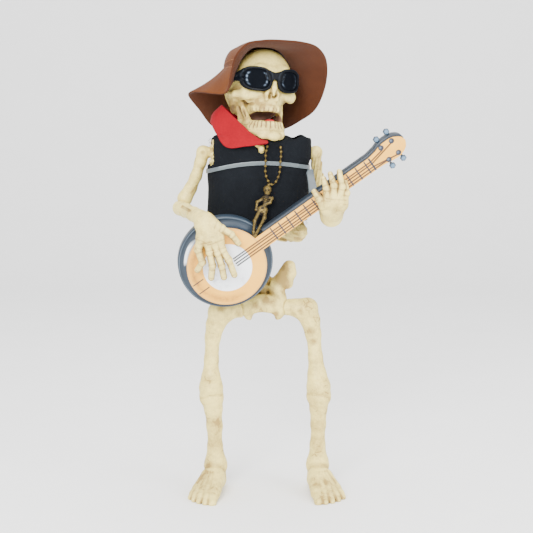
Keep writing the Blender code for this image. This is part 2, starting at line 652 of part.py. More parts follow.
def vest_clear(p):
    near = [upper_arm(p, RIGHT_UPPER_ARM), upper_arm(p, LEFT_UPPER_ARM), jaw(in_head(p)), neck(p)]
    return clear_of(vest(p), near, CLEAR + LOOSE)


BAND_TALL, BAND_THICK, BAND_CREST, BAND_DROP = 3.4, 0.9, 297.9, 7.0


def chest_band():
    clear_grey = coloured("clear strap", (0.45, 0.5, 0.5), 0.2, alpha=0.6)
    count = 32
    rows = []
    for low in (BAND_TALL / 2, -BAND_TALL / 2):
        ring = []
        for i in range(count):
            turn = 2 * math.pi * i / count
            corner = np.array(VEST_HALF) - VEST_ROUND
            grow = VEST_ROUND + CLOTH / 2 + BAND_THICK / 2 + 2 * LOOSE
            way = np.array((math.cos(turn), math.sin(turn)))
            spot = np.sign(way) * np.minimum(np.abs(way) * 60.0, corner) + way * grow
            height = BAND_CREST - BAND_DROP * (spot[0] / VEST_HALF[0]) ** 2
            ring.append((TORSO_AT[0] + spot[0], TORSO_AT[1] + spot[1], height + low))
        rows.append(ring)
    loft("chest_band", np.array(rows), BAND_THICK, clear_grey, None)


# Ball chain: one closed loop round the neck, and a short tail to the pendant
CHAIN_LOOP = (
    (4.4, -31.6, 280), (1.4, -31.6, 283), (-0.9, -31.4, 290), (-0.8, -31.6, 300), (-0.6, -31.3, 307),
    (0.6, -28.6, 312), (1.2, -20, 313.6), (-7, -11, 313.6), (-16, 0, 313.6), (-15, 12, 313.6), (-6, 18, 313.6),
    (4, 15, 313.6), (9, 5, 313.6), (10, -8, 313.6), (11, -20, 313.6), (12, -28, 311.6), (12.4, -31, 306.5),
    (11.8, -31.6, 299), (11, -31.6, 290), (8.4, -31.6, 283))
BEAD_PITCH, BEAD_RADIUS, LINK_RADIUS = 4.4, 1.55, 0.75


def evenly(curve, pitch):
    """Points at an even spacing along a closed curve."""
    ring = np.vstack((curve, curve[:1]))
    run = np.concatenate(([0.0], np.cumsum(np.linalg.norm(np.diff(ring, axis=0), axis=1))))
    count = int(round(run[-1] / pitch))
    return np.array([[np.interp(run[-1] * i / count, run, ring[:, n]) for n in range(3)] for i in range(count)])


def chain_room(p):
    ring = evenly(rounded(CHAIN_LOOP, 160), 6.0)
    closed = np.vstack((ring, ring[:1]))
    return np.minimum.reduce([rod(p, (*a, BEAD_RADIUS), (*b, BEAD_RADIUS)) for a, b in zip(closed, closed[1:])])


def closed_tube(path, radii, sides):
    count = len(path)
    tangent = np.roll(path, -1, axis=0) - np.roll(path, 1, axis=0)
    tangent = tangent / np.linalg.norm(tangent, axis=1, keepdims=True)
    side = [unit(np.cross(tangent[0], (0.3, 0.9, 0.2)))]
    for t in tangent[1:]:
        side.append(unit(side[-1] - t * (side[-1] @ t)))
    up = [np.cross(t, s) for t, s in zip(tangent, side)]
    last = side[-1] - tangent[0] * (side[-1] @ tangent[0])
    twist = math.atan2(last @ up[0], last @ side[0])
    points, faces = [], []
    for i in range(count):
        for j in range(sides):
            turn = 2 * math.pi * j / sides - twist * i / count
            points.append(path[i] + radii[i] * (math.cos(turn) * side[i] + math.sin(turn) * up[i]))
    for i in range(count):
        k = (i + 1) % count
        for j in range(sides):
            n = (j + 1) % sides
            faces.append((i * sides + j, i * sides + n, k * sides + n, k * sides + j))
    return np.array(points), faces


def ball_chain():
    brass = coloured("old brass", (0.32, 0.22, 0.09), 0.4, 1.0)
    path = evenly(rounded(CHAIN_LOOP, 200), BEAD_PITCH / 2)
    path = path[: len(path) // 2 * 2]
    radii = [BEAD_RADIUS if i % 2 else LINK_RADIUS for i in range(len(path))]
    points, faces = closed_tube(path, radii, 4)
    shown("ball_chain", points, faces, brass)


PENDANT_TOP = (3.6, -32.4, 277.6)


def pendant(p):
    q = p - np.array(PENDANT_TOP)
    body = egg(q, (-2.8, 0.2, -2.6), (3.3, 2.6, 4))
    body = blend(body, rod(q, (-2, 0.2, 2, 0.9), (-0.4, 0.3, 2.6, 0.8)), 0.8)
    spine = limb(q, ((-3.2, 0.2, -6, 1.3), (-4, -0.8, -10, 2.2), (-4.8, -2.2, -14.5, 1.5), (-6.8, -3.6, -18.5, 2.8)), 1.5)
    body = blend(body, spine, 1.2)
    body = blend(body, limb(q, ((-3.4, -0.4, -9, 1.4), (1, -1.2, -9.2, 1.1), (-0.4, -2, -13, 1), (-3.6, -2.4, -14, 0.9))), 1.0)
    body = blend(body, limb(q, ((-4.6, -0.4, -9, 1.4), (-11.4, -1.4, -12.6, 1.2), (-12.4, -3.8, -19, 1))), 1.0)
    left_leg = ((-9, -3.8, -19, 1.9), (-13.6, -9.4, -28, 1.5), (-14.6, -15, -36.6, 1.1), (-14.4, -17.6, -40.6, 1.3))
    right_leg = ((-4.8, -3.8, -19, 1.9), (-5.4, -7.8, -25.4, 1.6), (-8.8, -12.2, -32, 1.2), (-13, -17.4, -39.6, 1.3))
    body = blend(body, melt([limb(q, left_leg), limb(q, right_leg)], 1.0), 1.0)
    return clear_of(body, [chain_room(p), banjo_room(p)], 0.6)


# Banjo, drawn in its own axes: x along the neck, y across it, z out of the face

POT_PROFILE = ((0, -1.8), (32.4, -1.8), (33.4, -2.8), (33.4, -11), (36, -14), (38.4, -13.2), (39.4, -11.9),
               (40.4, -12), (41, -13.2), (41, -20), (38.4, -23), (0, -23))
FACE_THICK = 1.5
NECK_START, NUT_AT = 41.8, 150.0
HEAD_OUTLINE = ((158, 7.6), (163, 9.3), (175, 9.6), (182.5, 5.2), (184, 0), (177, -7), (166, -7.6), (158, -6.4))
PEGS = ((175, 15.2), (164.5, 14.6), (174.6, -12.6), (163.6, -12.6))
PEG_RADIUS = 2.7


def turned_solid(name, profile, sides, material):
    """A closed lathe shape about the banjo's face axis."""
    points, faces = [], []
    rings = []
    for r, z in profile:
        if r == 0:
            rings.append([len(points)])
            points.append((0, 0, z))
            continue
        rings.append(list(range(len(points), len(points) + sides)))
        for j in range(sides):
            turn = 2 * math.pi * j / sides
            points.append((r * math.cos(turn), r * math.sin(turn), z))
    for a, b in zip(rings, rings[1:]):
        for j in range(sides):
            k = (j + 1) % sides
            quad = [a[j % len(a)], b[j % len(b)], b[k % len(b)], a[k % len(a)]]
            faces.append(list(dict.fromkeys(quad)))
    return shown(name, from_banjo(points), faces, material)


def extruded(name, outline, low, high, material, bevel=0.0):
    count = len(outline)
    points = [(x, y, low) for x, y in outline] + [(x, y, high) for x, y in outline]
    faces = [list(range(count))[::-1], list(range(count, 2 * count))]
    faces += [[i, (i + 1) % count, count + (i + 1) % count, count + i] for i in range(count)]
    thing = shown(name, from_banjo(points), faces, material, smooth=False)
    if bevel:
        edge = thing.modifiers.new("Edge", "BEVEL")
        edge.width = bevel * MM
        edge.limit_method = "ANGLE"
        edge.segments = 1
    return thing


def banjo():
    shell = coloured("blue plastic", (0.075, 0.12, 0.17), 0.35)
    print_tan = coloured("printed face", (0.82, 0.56, 0.28), 0.5)
    knob = coloured("knob blue", (0.2, 0.3, 0.38), 0.35)
    half = NECK_WIDTH / 2
    turned_solid("banjo_pot", POT_PROFILE, 28, shell)
    gap_angle = math.asin(half / FACE_RADIUS)
    arc = [gap_angle + (2 * math.pi - 2 * gap_angle) * i / 40 for i in range(41)]
    disc = [(FACE_RADIUS * math.cos(a), FACE_RADIUS * math.sin(a)) for a in arc]
    top = [(NUT_AT, half), *HEAD_OUTLINE, (NUT_AT, -half)]
    extruded("banjo_face", disc + top[::-1], -FACE_THICK, 0.0, print_tan)
    back = [(NECK_START, half), (NECK_START, -half), *top[::-1]]
    extruded("banjo_neck", back, -FACE_THICK - 0.3 - NECK_DEPTH, -FACE_THICK - 0.3, shell, 1.2)
    for number, (x, y) in enumerate(PEGS, 1):
        inner = 10.2 if y > 0 else -8.2
        peg = lambda q: blend(egg(q, (x, y, -4.5), (PEG_RADIUS, PEG_RADIUS, 2.3)),
                              rod(q, (x, y, -4.5, 1), (x, inner, -4.5, 1)), 0.8)
        held = lambda q: np.maximum(peg(q), 0.35 - slab(q, (150, -8.6, -11), (190, 9.8, 1)))
        bone(f"tuning_peg_{number}", held, (x - 5, min(y, inner) - 5, -9), (x + 5, max(y, inner) + 5, 0), 60, 0.8,
             knob, from_banjo)


def build():
    for thing in list(bpy.data.objects):
        bpy.data.objects.remove(thing)
    bone("skull", skull, (-34, -42, -30), (34, 44, 34), 950, 1.5, place=from_head)
    bone("jaw", jaw, (-30, -42, -54), (30, 8, -8), 400, 1.3, place=from_head)
    red = coloured("red plastic", (0.5, 0.05, 0.04), 0.35)
    bone("tongue", tongue, (-10, -32, -40), (10, -6, -24), 60, 1.0, red, from_head)
    bone("neck", neck, (-16, -4, 300), (4, 22, 345), 140, 1.2)
    bone("ribcage", ribcage, (-54, -28, 210), (40, 30, 314), 560, 2.0)
    bone("lumbar_spine", lumbar, (-16, -6, 185), (8, 22, 250), 160, 1.3)
    bone("pelvis", pelvis, (-36, -18, 146), (30, 26, 216), 440, 1.5)
    left = lambda p: leg(p, LEFT_LEG, LEFT_TOES)
    right = lambda p: leg(p, RIGHT_LEG, RIGHT_TOES)
    bone("leg_left", left, (6, -56, -3), (80, 26, 182), 600, 1.5)
    bone("leg_right", right, (-80, -56, -3), (-12, 26, 182), 600, 1.5)
    for name in ("leg_left", "leg_right"):
        stand_flat(bpy.data.objects[name])
    bone("upper_arm_right", lambda p: upper_arm(p, RIGHT_UPPER_ARM), (-84, -10, 252), (-38, 14, 316), 140, 1.4)
    bone("upper_arm_left", lambda p: upper_arm(p, LEFT_UPPER_ARM), (26, -10, 254), (62, 40, 316), 140, 1.4)
    bone("forearm_right", lambda p: forearm(p, RIGHT_FOREARM, RIGHT_UPPER_ARM), (-88, -68, 240), (-42, 12, 272), 130, 1.4)
    bone("forearm_left", lambda p: forearm(p, LEFT_FOREARM, LEFT_UPPER_ARM), (42, -36, 236), (66, 38, 270), 130, 1.4)
    right_arm, left_arm = (RIGHT_FOREARM, RIGHT_UPPER_ARM), (LEFT_FOREARM, LEFT_UPPER_ARM)
    bone("hand_right", lambda p: hand(p, RIGHT_WRIST, RIGHT_FINGERS, right_arm), (-66, -76, 196), (-16, -42, 262), 460, 1.1)
    bone("hand_left", lambda p: hand(p, LEFT_WRIST, LEFT_FINGERS, left_arm), (32, -76, 238), (78, -20, 300), 460, 1.1)
    hat()
    glasses()
    scarf()
    bone("vest", vest_clear, (-56, -32, 240), (42, 34, 324), 450, 1.3, coloured("black cloth", (0.02, 0.022, 0.025), 0.95))
    chest_band()
    ball_chain()
    bone("pendant", pendant, (-15, -56, 232), (8, -26, 284), 240, 0.8, coloured("old brass", (0.32, 0.22, 0.09), 0.4, 1.0))
    banjo()


build()
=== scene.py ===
# %% [markdown]
# # A skeleton that plays the banjo
#
# The real object is a shelf figure about 40 cm tall: a cream plastic skeleton in a floppy felt
# hat, dark glasses, a red neckerchief and a black vest, with a ball chain round its neck and a
# small banjo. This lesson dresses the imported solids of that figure. Every piece is drawn in
# millimetres, in the figure's own coordinates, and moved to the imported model's frame in one place.
# The figure faces -Y and stands on z = 0.

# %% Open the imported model
import math

import bmesh
import bpy
import numpy as np
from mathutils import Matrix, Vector


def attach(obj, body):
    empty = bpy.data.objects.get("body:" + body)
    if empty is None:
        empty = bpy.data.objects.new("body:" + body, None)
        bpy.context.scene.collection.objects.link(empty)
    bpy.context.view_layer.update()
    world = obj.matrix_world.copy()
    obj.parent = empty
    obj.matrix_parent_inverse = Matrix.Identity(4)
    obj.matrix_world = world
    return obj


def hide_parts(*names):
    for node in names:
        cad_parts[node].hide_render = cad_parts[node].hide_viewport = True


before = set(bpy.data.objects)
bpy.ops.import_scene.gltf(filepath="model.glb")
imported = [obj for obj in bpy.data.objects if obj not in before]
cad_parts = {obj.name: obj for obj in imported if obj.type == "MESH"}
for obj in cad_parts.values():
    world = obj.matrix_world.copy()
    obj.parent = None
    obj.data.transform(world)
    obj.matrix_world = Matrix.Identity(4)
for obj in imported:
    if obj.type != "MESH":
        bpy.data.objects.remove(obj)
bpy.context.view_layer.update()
MM = 0.001
FIGURE_SHIFT = np.array((-17.7, 7.1, 0.0))

# %% Main sizes of the figure
HEAD_AT = (-7.0, 4.0, 362.0)
HEAD_YAW, HEAD_ROLL, HEAD_PITCH = 24.0, 5.0, 6.0
TORSO_AT, TORSO_HALF, TORSO_ROUND = (-7.5, 1.0, 268.0), (40.5, 23.5, 40.5), 20.0
RIB_PITCH, RIB_RELIEF = 11.0, 1.5
HIP_AT = (-3.0, 2.0)
JAW_MIDDLE = 2.3
SOLE_SINK = 2.0
FELT, CLOTH = 1.7, 1.5
CLEAR, LOOSE = 0.9, 0.8
BANJO_AT, BANJO_HEAD_AT, BANJO_LEAN = (-33.5, -50.0, 211.3), (115.0, -52.0, 317.0), 16.0
POT_RADIUS, FACE_RADIUS = 41.0, 34.2
NECK_WIDTH, NECK_DEPTH = 12.4, 8.5


def unit(v):
    v = np.asarray(v, float)
    return v / np.linalg.norm(v)


def turned(yaw, roll, pitch):
    """The head's axes: turned to the viewer's right, leaned over, and raised."""
    y, r, p = (math.radians(a) for a in (yaw, roll, pitch))
    about_z = [[math.cos(y), -math.sin(y), 0], [math.sin(y), math.cos(y), 0], [0, 0, 1]]
    about_y = [[math.cos(r), 0, math.sin(r)], [0, 1, 0], [-math.sin(r), 0, math.cos(r)]]
    about_x = [[1, 0, 0], [0, math.cos(p), math.sin(p)], [0, -math.sin(p), math.cos(p)]]
    return np.array(about_z) @ np.array(about_y) @ np.array(about_x)


HEAD_AXES = turned(HEAD_YAW, HEAD_ROLL, HEAD_PITCH)
ALONG = unit(np.array(BANJO_HEAD_AT) - np.array(BANJO_AT))
FACE_OUT = np.array((0.0, -math.cos(math.radians(BANJO_LEAN)), -math.sin(math.radians(BANJO_LEAN))))
FACE_OUT = unit(FACE_OUT - ALONG * (FACE_OUT @ ALONG))
BANJO_AXES = np.stack((ALONG, np.cross(FACE_OUT, ALONG), FACE_OUT), axis=1)


def in_head(p):
    return (p - np.array(HEAD_AT)) @ HEAD_AXES


def from_head(q):
    return np.asarray(q, float) @ HEAD_AXES.T + np.array(HEAD_AT)


def in_banjo(p):
    return (p - np.array(BANJO_AT)) @ BANJO_AXES


def from_banjo(q):
    return np.asarray(q, float) @ BANJO_AXES.T + np.array(BANJO_AT)


print("head axes:", HEAD_AXES.round(3).tolist())

# %% [markdown]
# ## Bones as distances
#
# The real bones are moulded in one soft flow: a shaft swells into a knuckle with no edge between
# them. Boxes and cylinders joined by booleans would leave creases, and sculpting can't be
# repeated. So each bone is a rule that gives, for any point in space, its distance to the
# surface: negative inside and positive outside. Two rules melt into one with a smooth minimum,
# and one carves another in the same way.

# %% Eggs, rods, melting and carving


def length(v):
    return np.sqrt((v * v).sum(axis=1))


def egg(p, at, radii):
    q = p - np.array(at, float)
    r = np.array(radii, float)
    near = length(q / r)
    slope = length(q / (r * r))
    return near * (near - 1.0) / np.maximum(slope, 1e-6)


def rod(p, a, b):
    """A tapered rod between two stations (x, y, z, radius)."""
    start, end = np.array(a[:3], float), np.array(b[:3], float)
    along = end - start
    t = np.clip(((p - start) @ along) / max(along @ along, 1e-9), 0.0, 1.0)
    return length(p - start - t[:, None] * along) - (a[3] + t * (b[3] - a[3]))


def blend(a, b, soft):
    h = np.clip(0.5 + 0.5 * (b - a) / soft, 0.0, 1.0)
    return b + (a - b) * h - soft * h * (1.0 - h)


def melt(parts, soft):
    whole = parts[0]
    for part in parts[1:]:
        whole = blend(whole, part, soft)
    return whole


def carve(body, tool, soft):
    return -blend(-body, tool, soft)


def limb(p, stations, soft=1.5):
    return melt([rod(p, a, b) for a, b in zip(stations, stations[1:])], soft)


def clear_of(body, others, gap):
    """Cut a body back so that it stays a gap away from each neighbour."""
    for other in others:
        body = np.maximum(body, gap - other)
    return body


def both_sides(p, middle=0.0):
    q = p.copy()
    q[:, 0] = np.abs(q[:, 0] - middle)
    return q


def slab(q, low, high):
    middle = (np.array(low, float) + np.array(high, float)) / 2
    half = (np.array(high, float) - np.array(low, float)) / 2
    past = np.abs(q - middle) - half
    return length(np.maximum(past, 0.0)) + np.minimum(past.max(axis=1), 0.0)


def between(value, low, high, soft):
    """A soft window: one inside the range and zero outside it."""
    rise = np.clip((value - low) / soft + 0.5, 0, 1)
    fall = np.clip((high - value) / soft + 0.5, 0, 1)
    return rise * rise * (3 - 2 * rise) * fall * fall * (3 - 2 * fall)


print("an egg of 10 mm, seen from 12 mm:", round(float(egg(np.array([[12.0, 0, 0]]), (0, 0, 0), (10, 10, 10))[0]), 2))

# %% [markdown]
# ## From a rule to a mesh
#
# Blender can't show a distance rule, so its surface is found on a grid. Asking every point of a
# fine grid would take minutes, so big cubes are asked first and only those near the surface are
# cut into small ones. Each small cube that the surface crosses gets one point, and the points of
# neighbouring cubes are joined by square faces. Last, the points slide onto the exact surface, so
# that the mesh keeps the rule's own roundness and not the grid's steps.

# %% A fine skin around any rule
CORNERS = np.array([(i, j, k) for i in (0, 1) for j in (0, 1) for k in (0, 1)])
EDGES = [(a, b) for a in range(8) for b in range(a + 1, 8) if np.abs(CORNERS[a] - CORNERS[b]).sum() == 1]
SPLIT = 4


def near_cells(field, low, high, step):
    count = np.ceil((high - low) / (SPLIT * step)).astype(int)
    big = np.argwhere(np.ones(count, bool))
    middles = low + (big + 0.5) * SPLIT * step
    big = big[np.abs(field(middles)) < SPLIT * step * 1.25]
    parts = np.argwhere(np.ones((SPLIT,) * 3, bool))
    return (big[:, None] * SPLIT + parts[None]).reshape(-1, 3)


def skin(field, low, high, step):
    """Points and square faces on the surface of a rule."""
    low, high = np.array(low, float), np.array(high, float)
    cells = near_cells(field, low, high, step)
    span = cells.max(axis=0) + 3
    code = lambda c: (c[..., 0] * span[1] + c[..., 1]) * span[2] + c[..., 2]
    keys, back = np.unique(code(cells[:, None] + CORNERS).ravel(), return_inverse=True)
    spots = np.stack((keys // (span[1] * span[2]), keys // span[2] % span[1], keys % span[2]), axis=1)
    value = field(low + spots * step)[back].reshape(-1, 8)
    inside = value < 0
    mixed = inside.any(axis=1) & ~inside.all(axis=1)
    cells, value, inside = cells[mixed], value[mixed], inside[mixed]
    total, hits = np.zeros((len(cells), 3)), np.zeros(len(cells))
    for a, b in EDGES:
        cross = inside[:, a] != inside[:, b]
        share = (value[cross, a] / (value[cross, a] - value[cross, b]))[:, None]
        total[cross] += CORNERS[a] + (CORNERS[b] - CORNERS[a]) * share
        hits += cross
    points = low + (cells + total / hits[:, None]) * step
    order = np.argsort(code(cells))
    known = code(cells)[order]
    faces = []
    for axis, far in enumerate((4, 2, 1)):
        one, two = np.eye(3, dtype=int)[(axis + 1) % 3], np.eye(3, dtype=int)[(axis + 2) % 3]
        cross = inside[:, 0] != inside[:, far]
        home = cells[cross]
        ring = np.stack([code(home), code(home - one), code(home - one - two), code(home - two)], axis=1)
        place = np.minimum(np.searchsorted(known, ring), len(known) - 1)
        whole = (known[place] == ring).all(axis=1)
        quad = order[place]
        out = inside[cross, 0]
        faces.append(np.where(out[:, None], quad, quad[:, ::-1])[whole])
    return points, np.concatenate(faces)


def slopes(field, points, reach=0.04):
    return np.stack([(field(points + reach * axis) - field(points - reach * axis)) / (2 * reach)
                     for axis in np.eye(3)], axis=1)


def settled(field, points, rounds=2, most=0.5):
    """Slide mesh points onto the exact surface, never far at once."""
    for _ in range(rounds):
        slope = slopes(field, points)
        pull = field(points) / np.maximum((slope * slope).sum(axis=1), 0.2)
        points = points - np.clip(0.85 * pull, -most, most)[:, None] * slope
    return points


def largest(points, faces):
    """The biggest connected piece: crumbs that a cut leaves behind are dropped."""
    label = np.arange(len(points))
    while True:
        low = label[faces].min(axis=1)
        new = label.copy()
        for n in range(faces.shape[1]):
            np.minimum.at(new, faces[:, n], low)
        new = new[new]
        if (new == label).all():
            break
        label = new
    kept = faces[label[faces[:, 0]] == np.bincount(label, minlength=1).argmax()]
    used, renumbered = np.unique(kept, return_inverse=True)
    return points[used], renumbered.reshape(kept.shape)


ball = skin(lambda p: length(p) - 5, (-7, -7, -7), (7, 7, 7), 1.0)
print("a test ball of 5 mm:", len(ball[0]), "points and", len(ball[1]), "faces")

# %% [markdown]
# ## Where the wash and the shade gather
#
# The figure is cream plastic with a brown wash rubbed into it. The wash stays in hollows and is
# wiped off ridges. The distance rule knows this already: stepping off the surface by a fixed
# length into open space brings the same distance, and stepping off inside a hollow brings less.
# The share that is missing is kept on each point, and the bone's finish reads it. The same share
# also paints the shade that falls in hollows, so the mark is wash and painted shade together.

# %% Hand a shape to Blender, with its wash and painted shade


def hollow(field, points, normals, reach):
    return np.clip(1.0 - field(points + normals * reach) / reach, 0.0, 1.0)


def show(name, points, faces, material, marks=None, smooth=True):
    """An object from points in millimetres, with any values that its finish reads."""
    mesh = bpy.data.meshes.new(name)
    placed = (np.asarray(points, float) + FIGURE_SHIFT) * MM
    mesh.from_pydata(placed.tolist(), [], np.asarray(faces).tolist() if isinstance(faces, np.ndarray) else faces)
    mesh.materials.append(material)
    for mark, values in (marks or {}).items():
        layer = mesh.attributes.new(mark, "FLOAT", "POINT")
        layer.data.foreach_set("value", np.asarray(values, np.float32))
    if smooth:
        mesh.shade_smooth()
    mesh.validate()
    thing = bpy.data.objects.new(name, mesh)
    bpy.context.collection.objects.link(thing)
    return thing


def settle_in(thing, slot, *nodes):
    """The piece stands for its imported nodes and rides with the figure."""
    if nodes:
        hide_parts(*nodes)
    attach(thing, "root")
    triangles = sum(len(face.vertices) - 2 for face in thing.data.polygons)
    print(f"{thing.name}: {triangles} triangles")
    return thing


def moulded(name, field, low, high, step, material, slot, nodes, place=None, paint=None, wash_and_shade=None):
    """A bone, or any other soft form, from its rule to a finished piece."""
    points, faces = largest(*skin(field, low, high, step))
    points = settled(field, points)
    normals = slopes(field, points)
    normals /= np.maximum(length(normals), 1e-6)[:, None]
    # Wash in the hollows and painted shade together; the widest reach, 7 mm, paints the broad shade of deep hollows.
    stain = np.maximum.reduce([hollow(field, points, normals, 1.0), 0.85 * hollow(field, points, normals, 3.0),
                               0.7 * hollow(field, points, normals, 7.0)])
    if wash_and_shade:
        stain = np.clip(stain + wash_and_shade(points), 0, 1)
    marks = {"stain": stain}
    if paint:
        marks["paint"] = paint(points)
    if place:
        points = place(points)
    thing = show(name, points, faces, material, marks)
    return settle_in(thing, slot, *nodes)

# %% [markdown]
# ## Finishes written as sums
#
# A finish is a small net of nodes, and long lists of links are hard to read. One class wraps a
# socket and knows plus, minus, times and over, so a rule such as 1 - stain * 0.5 adds its own
# Math nodes. Any other node comes from one method, with its settings first and its inputs after.

# %% A socket that can be added up


class Wire:
    """The end of a node, ready for sums with numbers and other wires."""

    def __init__(self, finish, socket):
        self.finish, self.socket = finish, socket

    def sum_with(self, how, other, swapped=False):
        pair = (other, self) if swapped else (self, other)
        return self.finish.node("ShaderNodeMath", {"operation": how}, {0: pair[0], 1: pair[1]})

    def __add__(self, other):
        return self.sum_with("ADD", other)

    def __sub__(self, other):
        return self.sum_with("SUBTRACT", other)

    def __rsub__(self, other):
        return self.sum_with("SUBTRACT", other, True)

    def __mul__(self, other):
        return self.sum_with("MULTIPLY", other)

    def __truediv__(self, other):
        return self.sum_with("DIVIDE", other)

    def __rtruediv__(self, other):
        return self.sum_with("DIVIDE", other, True)

    def __pow__(self, other):
        return self.sum_with("POWER", other)

    def __gt__(self, other):
        return self.sum_with("GREATER_THAN", other)

    def __lt__(self, other):
        return self.sum_with("LESS_THAN", other)

    __radd__, __rmul__ = __add__, __mul__


class Finish:
    """A material in the making, around one Principled shader."""

    def __init__(self, name, **fixed):
        self.material = bpy.data.materials.new(name)
        self.material.use_nodes = True
        self.tree = self.material.node_tree
        self.shader = self.tree.nodes["Principled BSDF"]
        for socket, value in fixed.items():
            self.shader.inputs[socket.replace("_", " ")].default_value = value

    def join(self, value, socket):
        if isinstance(value, Wire):
            self.tree.links.new(value.socket, socket)
        elif isinstance(value, (tuple, list)) and len(value) == 3 and socket.type == "RGBA":
            socket.default_value = (*value, 1.0)
        else:
            socket.default_value = value

    def node(self, kind, settings=None, inputs=None, out=0):
        made = self.tree.nodes.new(kind)
        for key, value in (settings or {}).items():
            if key == "stops":
                ramp = made.color_ramp
                while len(ramp.elements) < len(value):
                    ramp.elements.new(0.5)
                for element, (spot, colour) in zip(ramp.elements, value):
                    element.position, element.color = spot, (*colour, 1.0)
            else:
                setattr(made, key, value)
        for key, value in (inputs or {}).items():
            self.join(value, made.inputs[key])
        return Wire(self, made.outputs[out])

    def place(self):
        """Object coordinates, in metres."""
        return self.node("ShaderNodeTexCoord", out="Object")

    def mark(self, name):
        return self.node("ShaderNodeAttribute", {"attribute_name": name}, out="Fac")

    def noise(self, size, detail=3.0, rough=0.5, at=None):
        """Cloudy noise whose lumps are about a size in millimetres."""
        return self.node("ShaderNodeTexNoise", None,
                         {"Vector": at or self.place(), "Scale": 1.0 / (size * MM), "Detail": detail, "Roughness": rough})

    def mixed(self, share, one, two):
        return self.node("ShaderNodeMix", {"data_type": "RGBA"}, {0: share, 6: one, 7: two}, out=2)

    def held(self, value, low, high):
        """A wire brought from low..high to 0..1 and kept there."""
        return self.node("ShaderNodeMapRange", None, {"Value": value, "From Min": low, "From Max": high})

    def axis(self, name, at=None):
        return self.node("ShaderNodeSeparateXYZ", None, {0: at or self.place()}, out=name)

    def relief(self, height, deep, strength=1.0):
        """Bump from a height of 0 to 1 that is deep millimetres tall."""
        bump = self.node("ShaderNodeBump", None, {"Height": height, "Distance": deep * MM, "Strength": strength},
                         out="Normal")
        self.join(bump, self.shader.inputs["Normal"])
        return bump

    def wear(self, **wires):
        for socket, wire in wires.items():
            self.join(wire, self.shader.inputs[socket.replace("_", " ")])
        return self.material


print("finishes are ready to write")

# %% [markdown]
# ## Cream plastic with a brown wash
#
# Three things make the real bone: a cream that is never quite even, a brown wash that stays where
# the stain-and-shade mark says, and a low sheen that is duller under the wash. The same mark also
# paints the shade of the hollows, darkest in the deepest ones. A fine bump gives the
# surface of a casting that was brushed by hand.

# %% The bone's finish


MOUTH_BROWN = (0.135, 0.062, 0.040)


def bone_finish(name, base, wash_and_shade, deep):
    look = Finish(name, Subsurface_Weight=0.06, Specular_IOR_Level=0.42)
    look.shader.inputs["Subsurface Radius"].default_value = (0.004, 0.0025, 0.0012)
    look.shader.inputs["Subsurface Scale"].default_value = 0.6
    stain = look.mark("stain")
    patches = look.noise(14, 4, 0.6)
    grain = look.noise(1.6, 3, 0.6)
    streaks = look.noise(3.2, 4, 0.65)
    cells = look.node("ShaderNodeTexVoronoi", {"feature": "DISTANCE_TO_EDGE"},
                      {"Vector": look.place(), "Scale": 1 / (7 * MM), "Randomness": 1.0}, out="Distance")
    cracks = look.held(cells + (streaks - 0.5) * 0.25, 0.09, 0.0) * look.held(patches, 0.54, 0.68)
    thick = look.held(stain * 1.35 + (patches - 0.5) * 1.1 + (streaks - 0.5) * 0.6 + (grain - 0.5) * 0.25 + cracks * 0.8,
                      -0.12, 0.62)
    paler = look.mixed(look.held(patches, 0.35, 0.7), base, tuple(0.93 * c for c in base))
    washed_and_shaded = look.mixed(thick * 0.85, paler, wash_and_shade)
    # Painted shade: the deepest hollows turn a near-black brown.
    colour = look.mixed(look.held(stain, 0.75, 1.0) * 0.8, washed_and_shaded, deep)
    colour = look.mixed(look.mark("paint"), colour, MOUTH_BROWN)
    look.relief(grain * 0.6 + look.noise(0.5, 2) * 0.4, 0.12)
    return look.wear(Base_Color=colour, Roughness=0.46 + thick * 0.25)


BONE = bone_finish("bone", (0.78, 0.64, 0.195), (0.25, 0.150, 0.036), (0.05, 0.019, 0.006))
print("bone finish:", len(BONE.node_tree.nodes), "nodes")

# %% [markdown]
# ## The head
#
# The skull is an egg with deep sockets, a brow, cheek bones that arch to the temples, and an
# upper jaw. The lower jaw is a separate moulding that hangs open, with a small red piece behind
# its teeth. Teeth are shallow grooves across a rounded gum, close together, because the real
# mould has them that way and no tooth is a piece of its own.

# %% Skull, jaw and the red piece
TOOTH_PITCH = 3.3
MOUTH = ((0, -14, -28), (10.5, 15, 8))


def teeth(q, centre_y, low, high, deep):
    """Grooves between the teeth, where this adds to a distance, in a soft band of heights."""
    turn = np.arctan2(q[:, 0], -(q[:, 1] - centre_y))
    run = turn * 15.5
    groove = np.exp(-((np.mod(run + TOOTH_PITCH / 2, TOOTH_PITCH) - TOOTH_PITCH / 2) / 0.42) ** 2)
    arch = 0.25 * np.cos(2 * math.pi * run / TOOTH_PITCH)
    return between(q[:, 2], low, high, 1.8) * between(run, -21, 21, 3) * (deep * groove - arch)


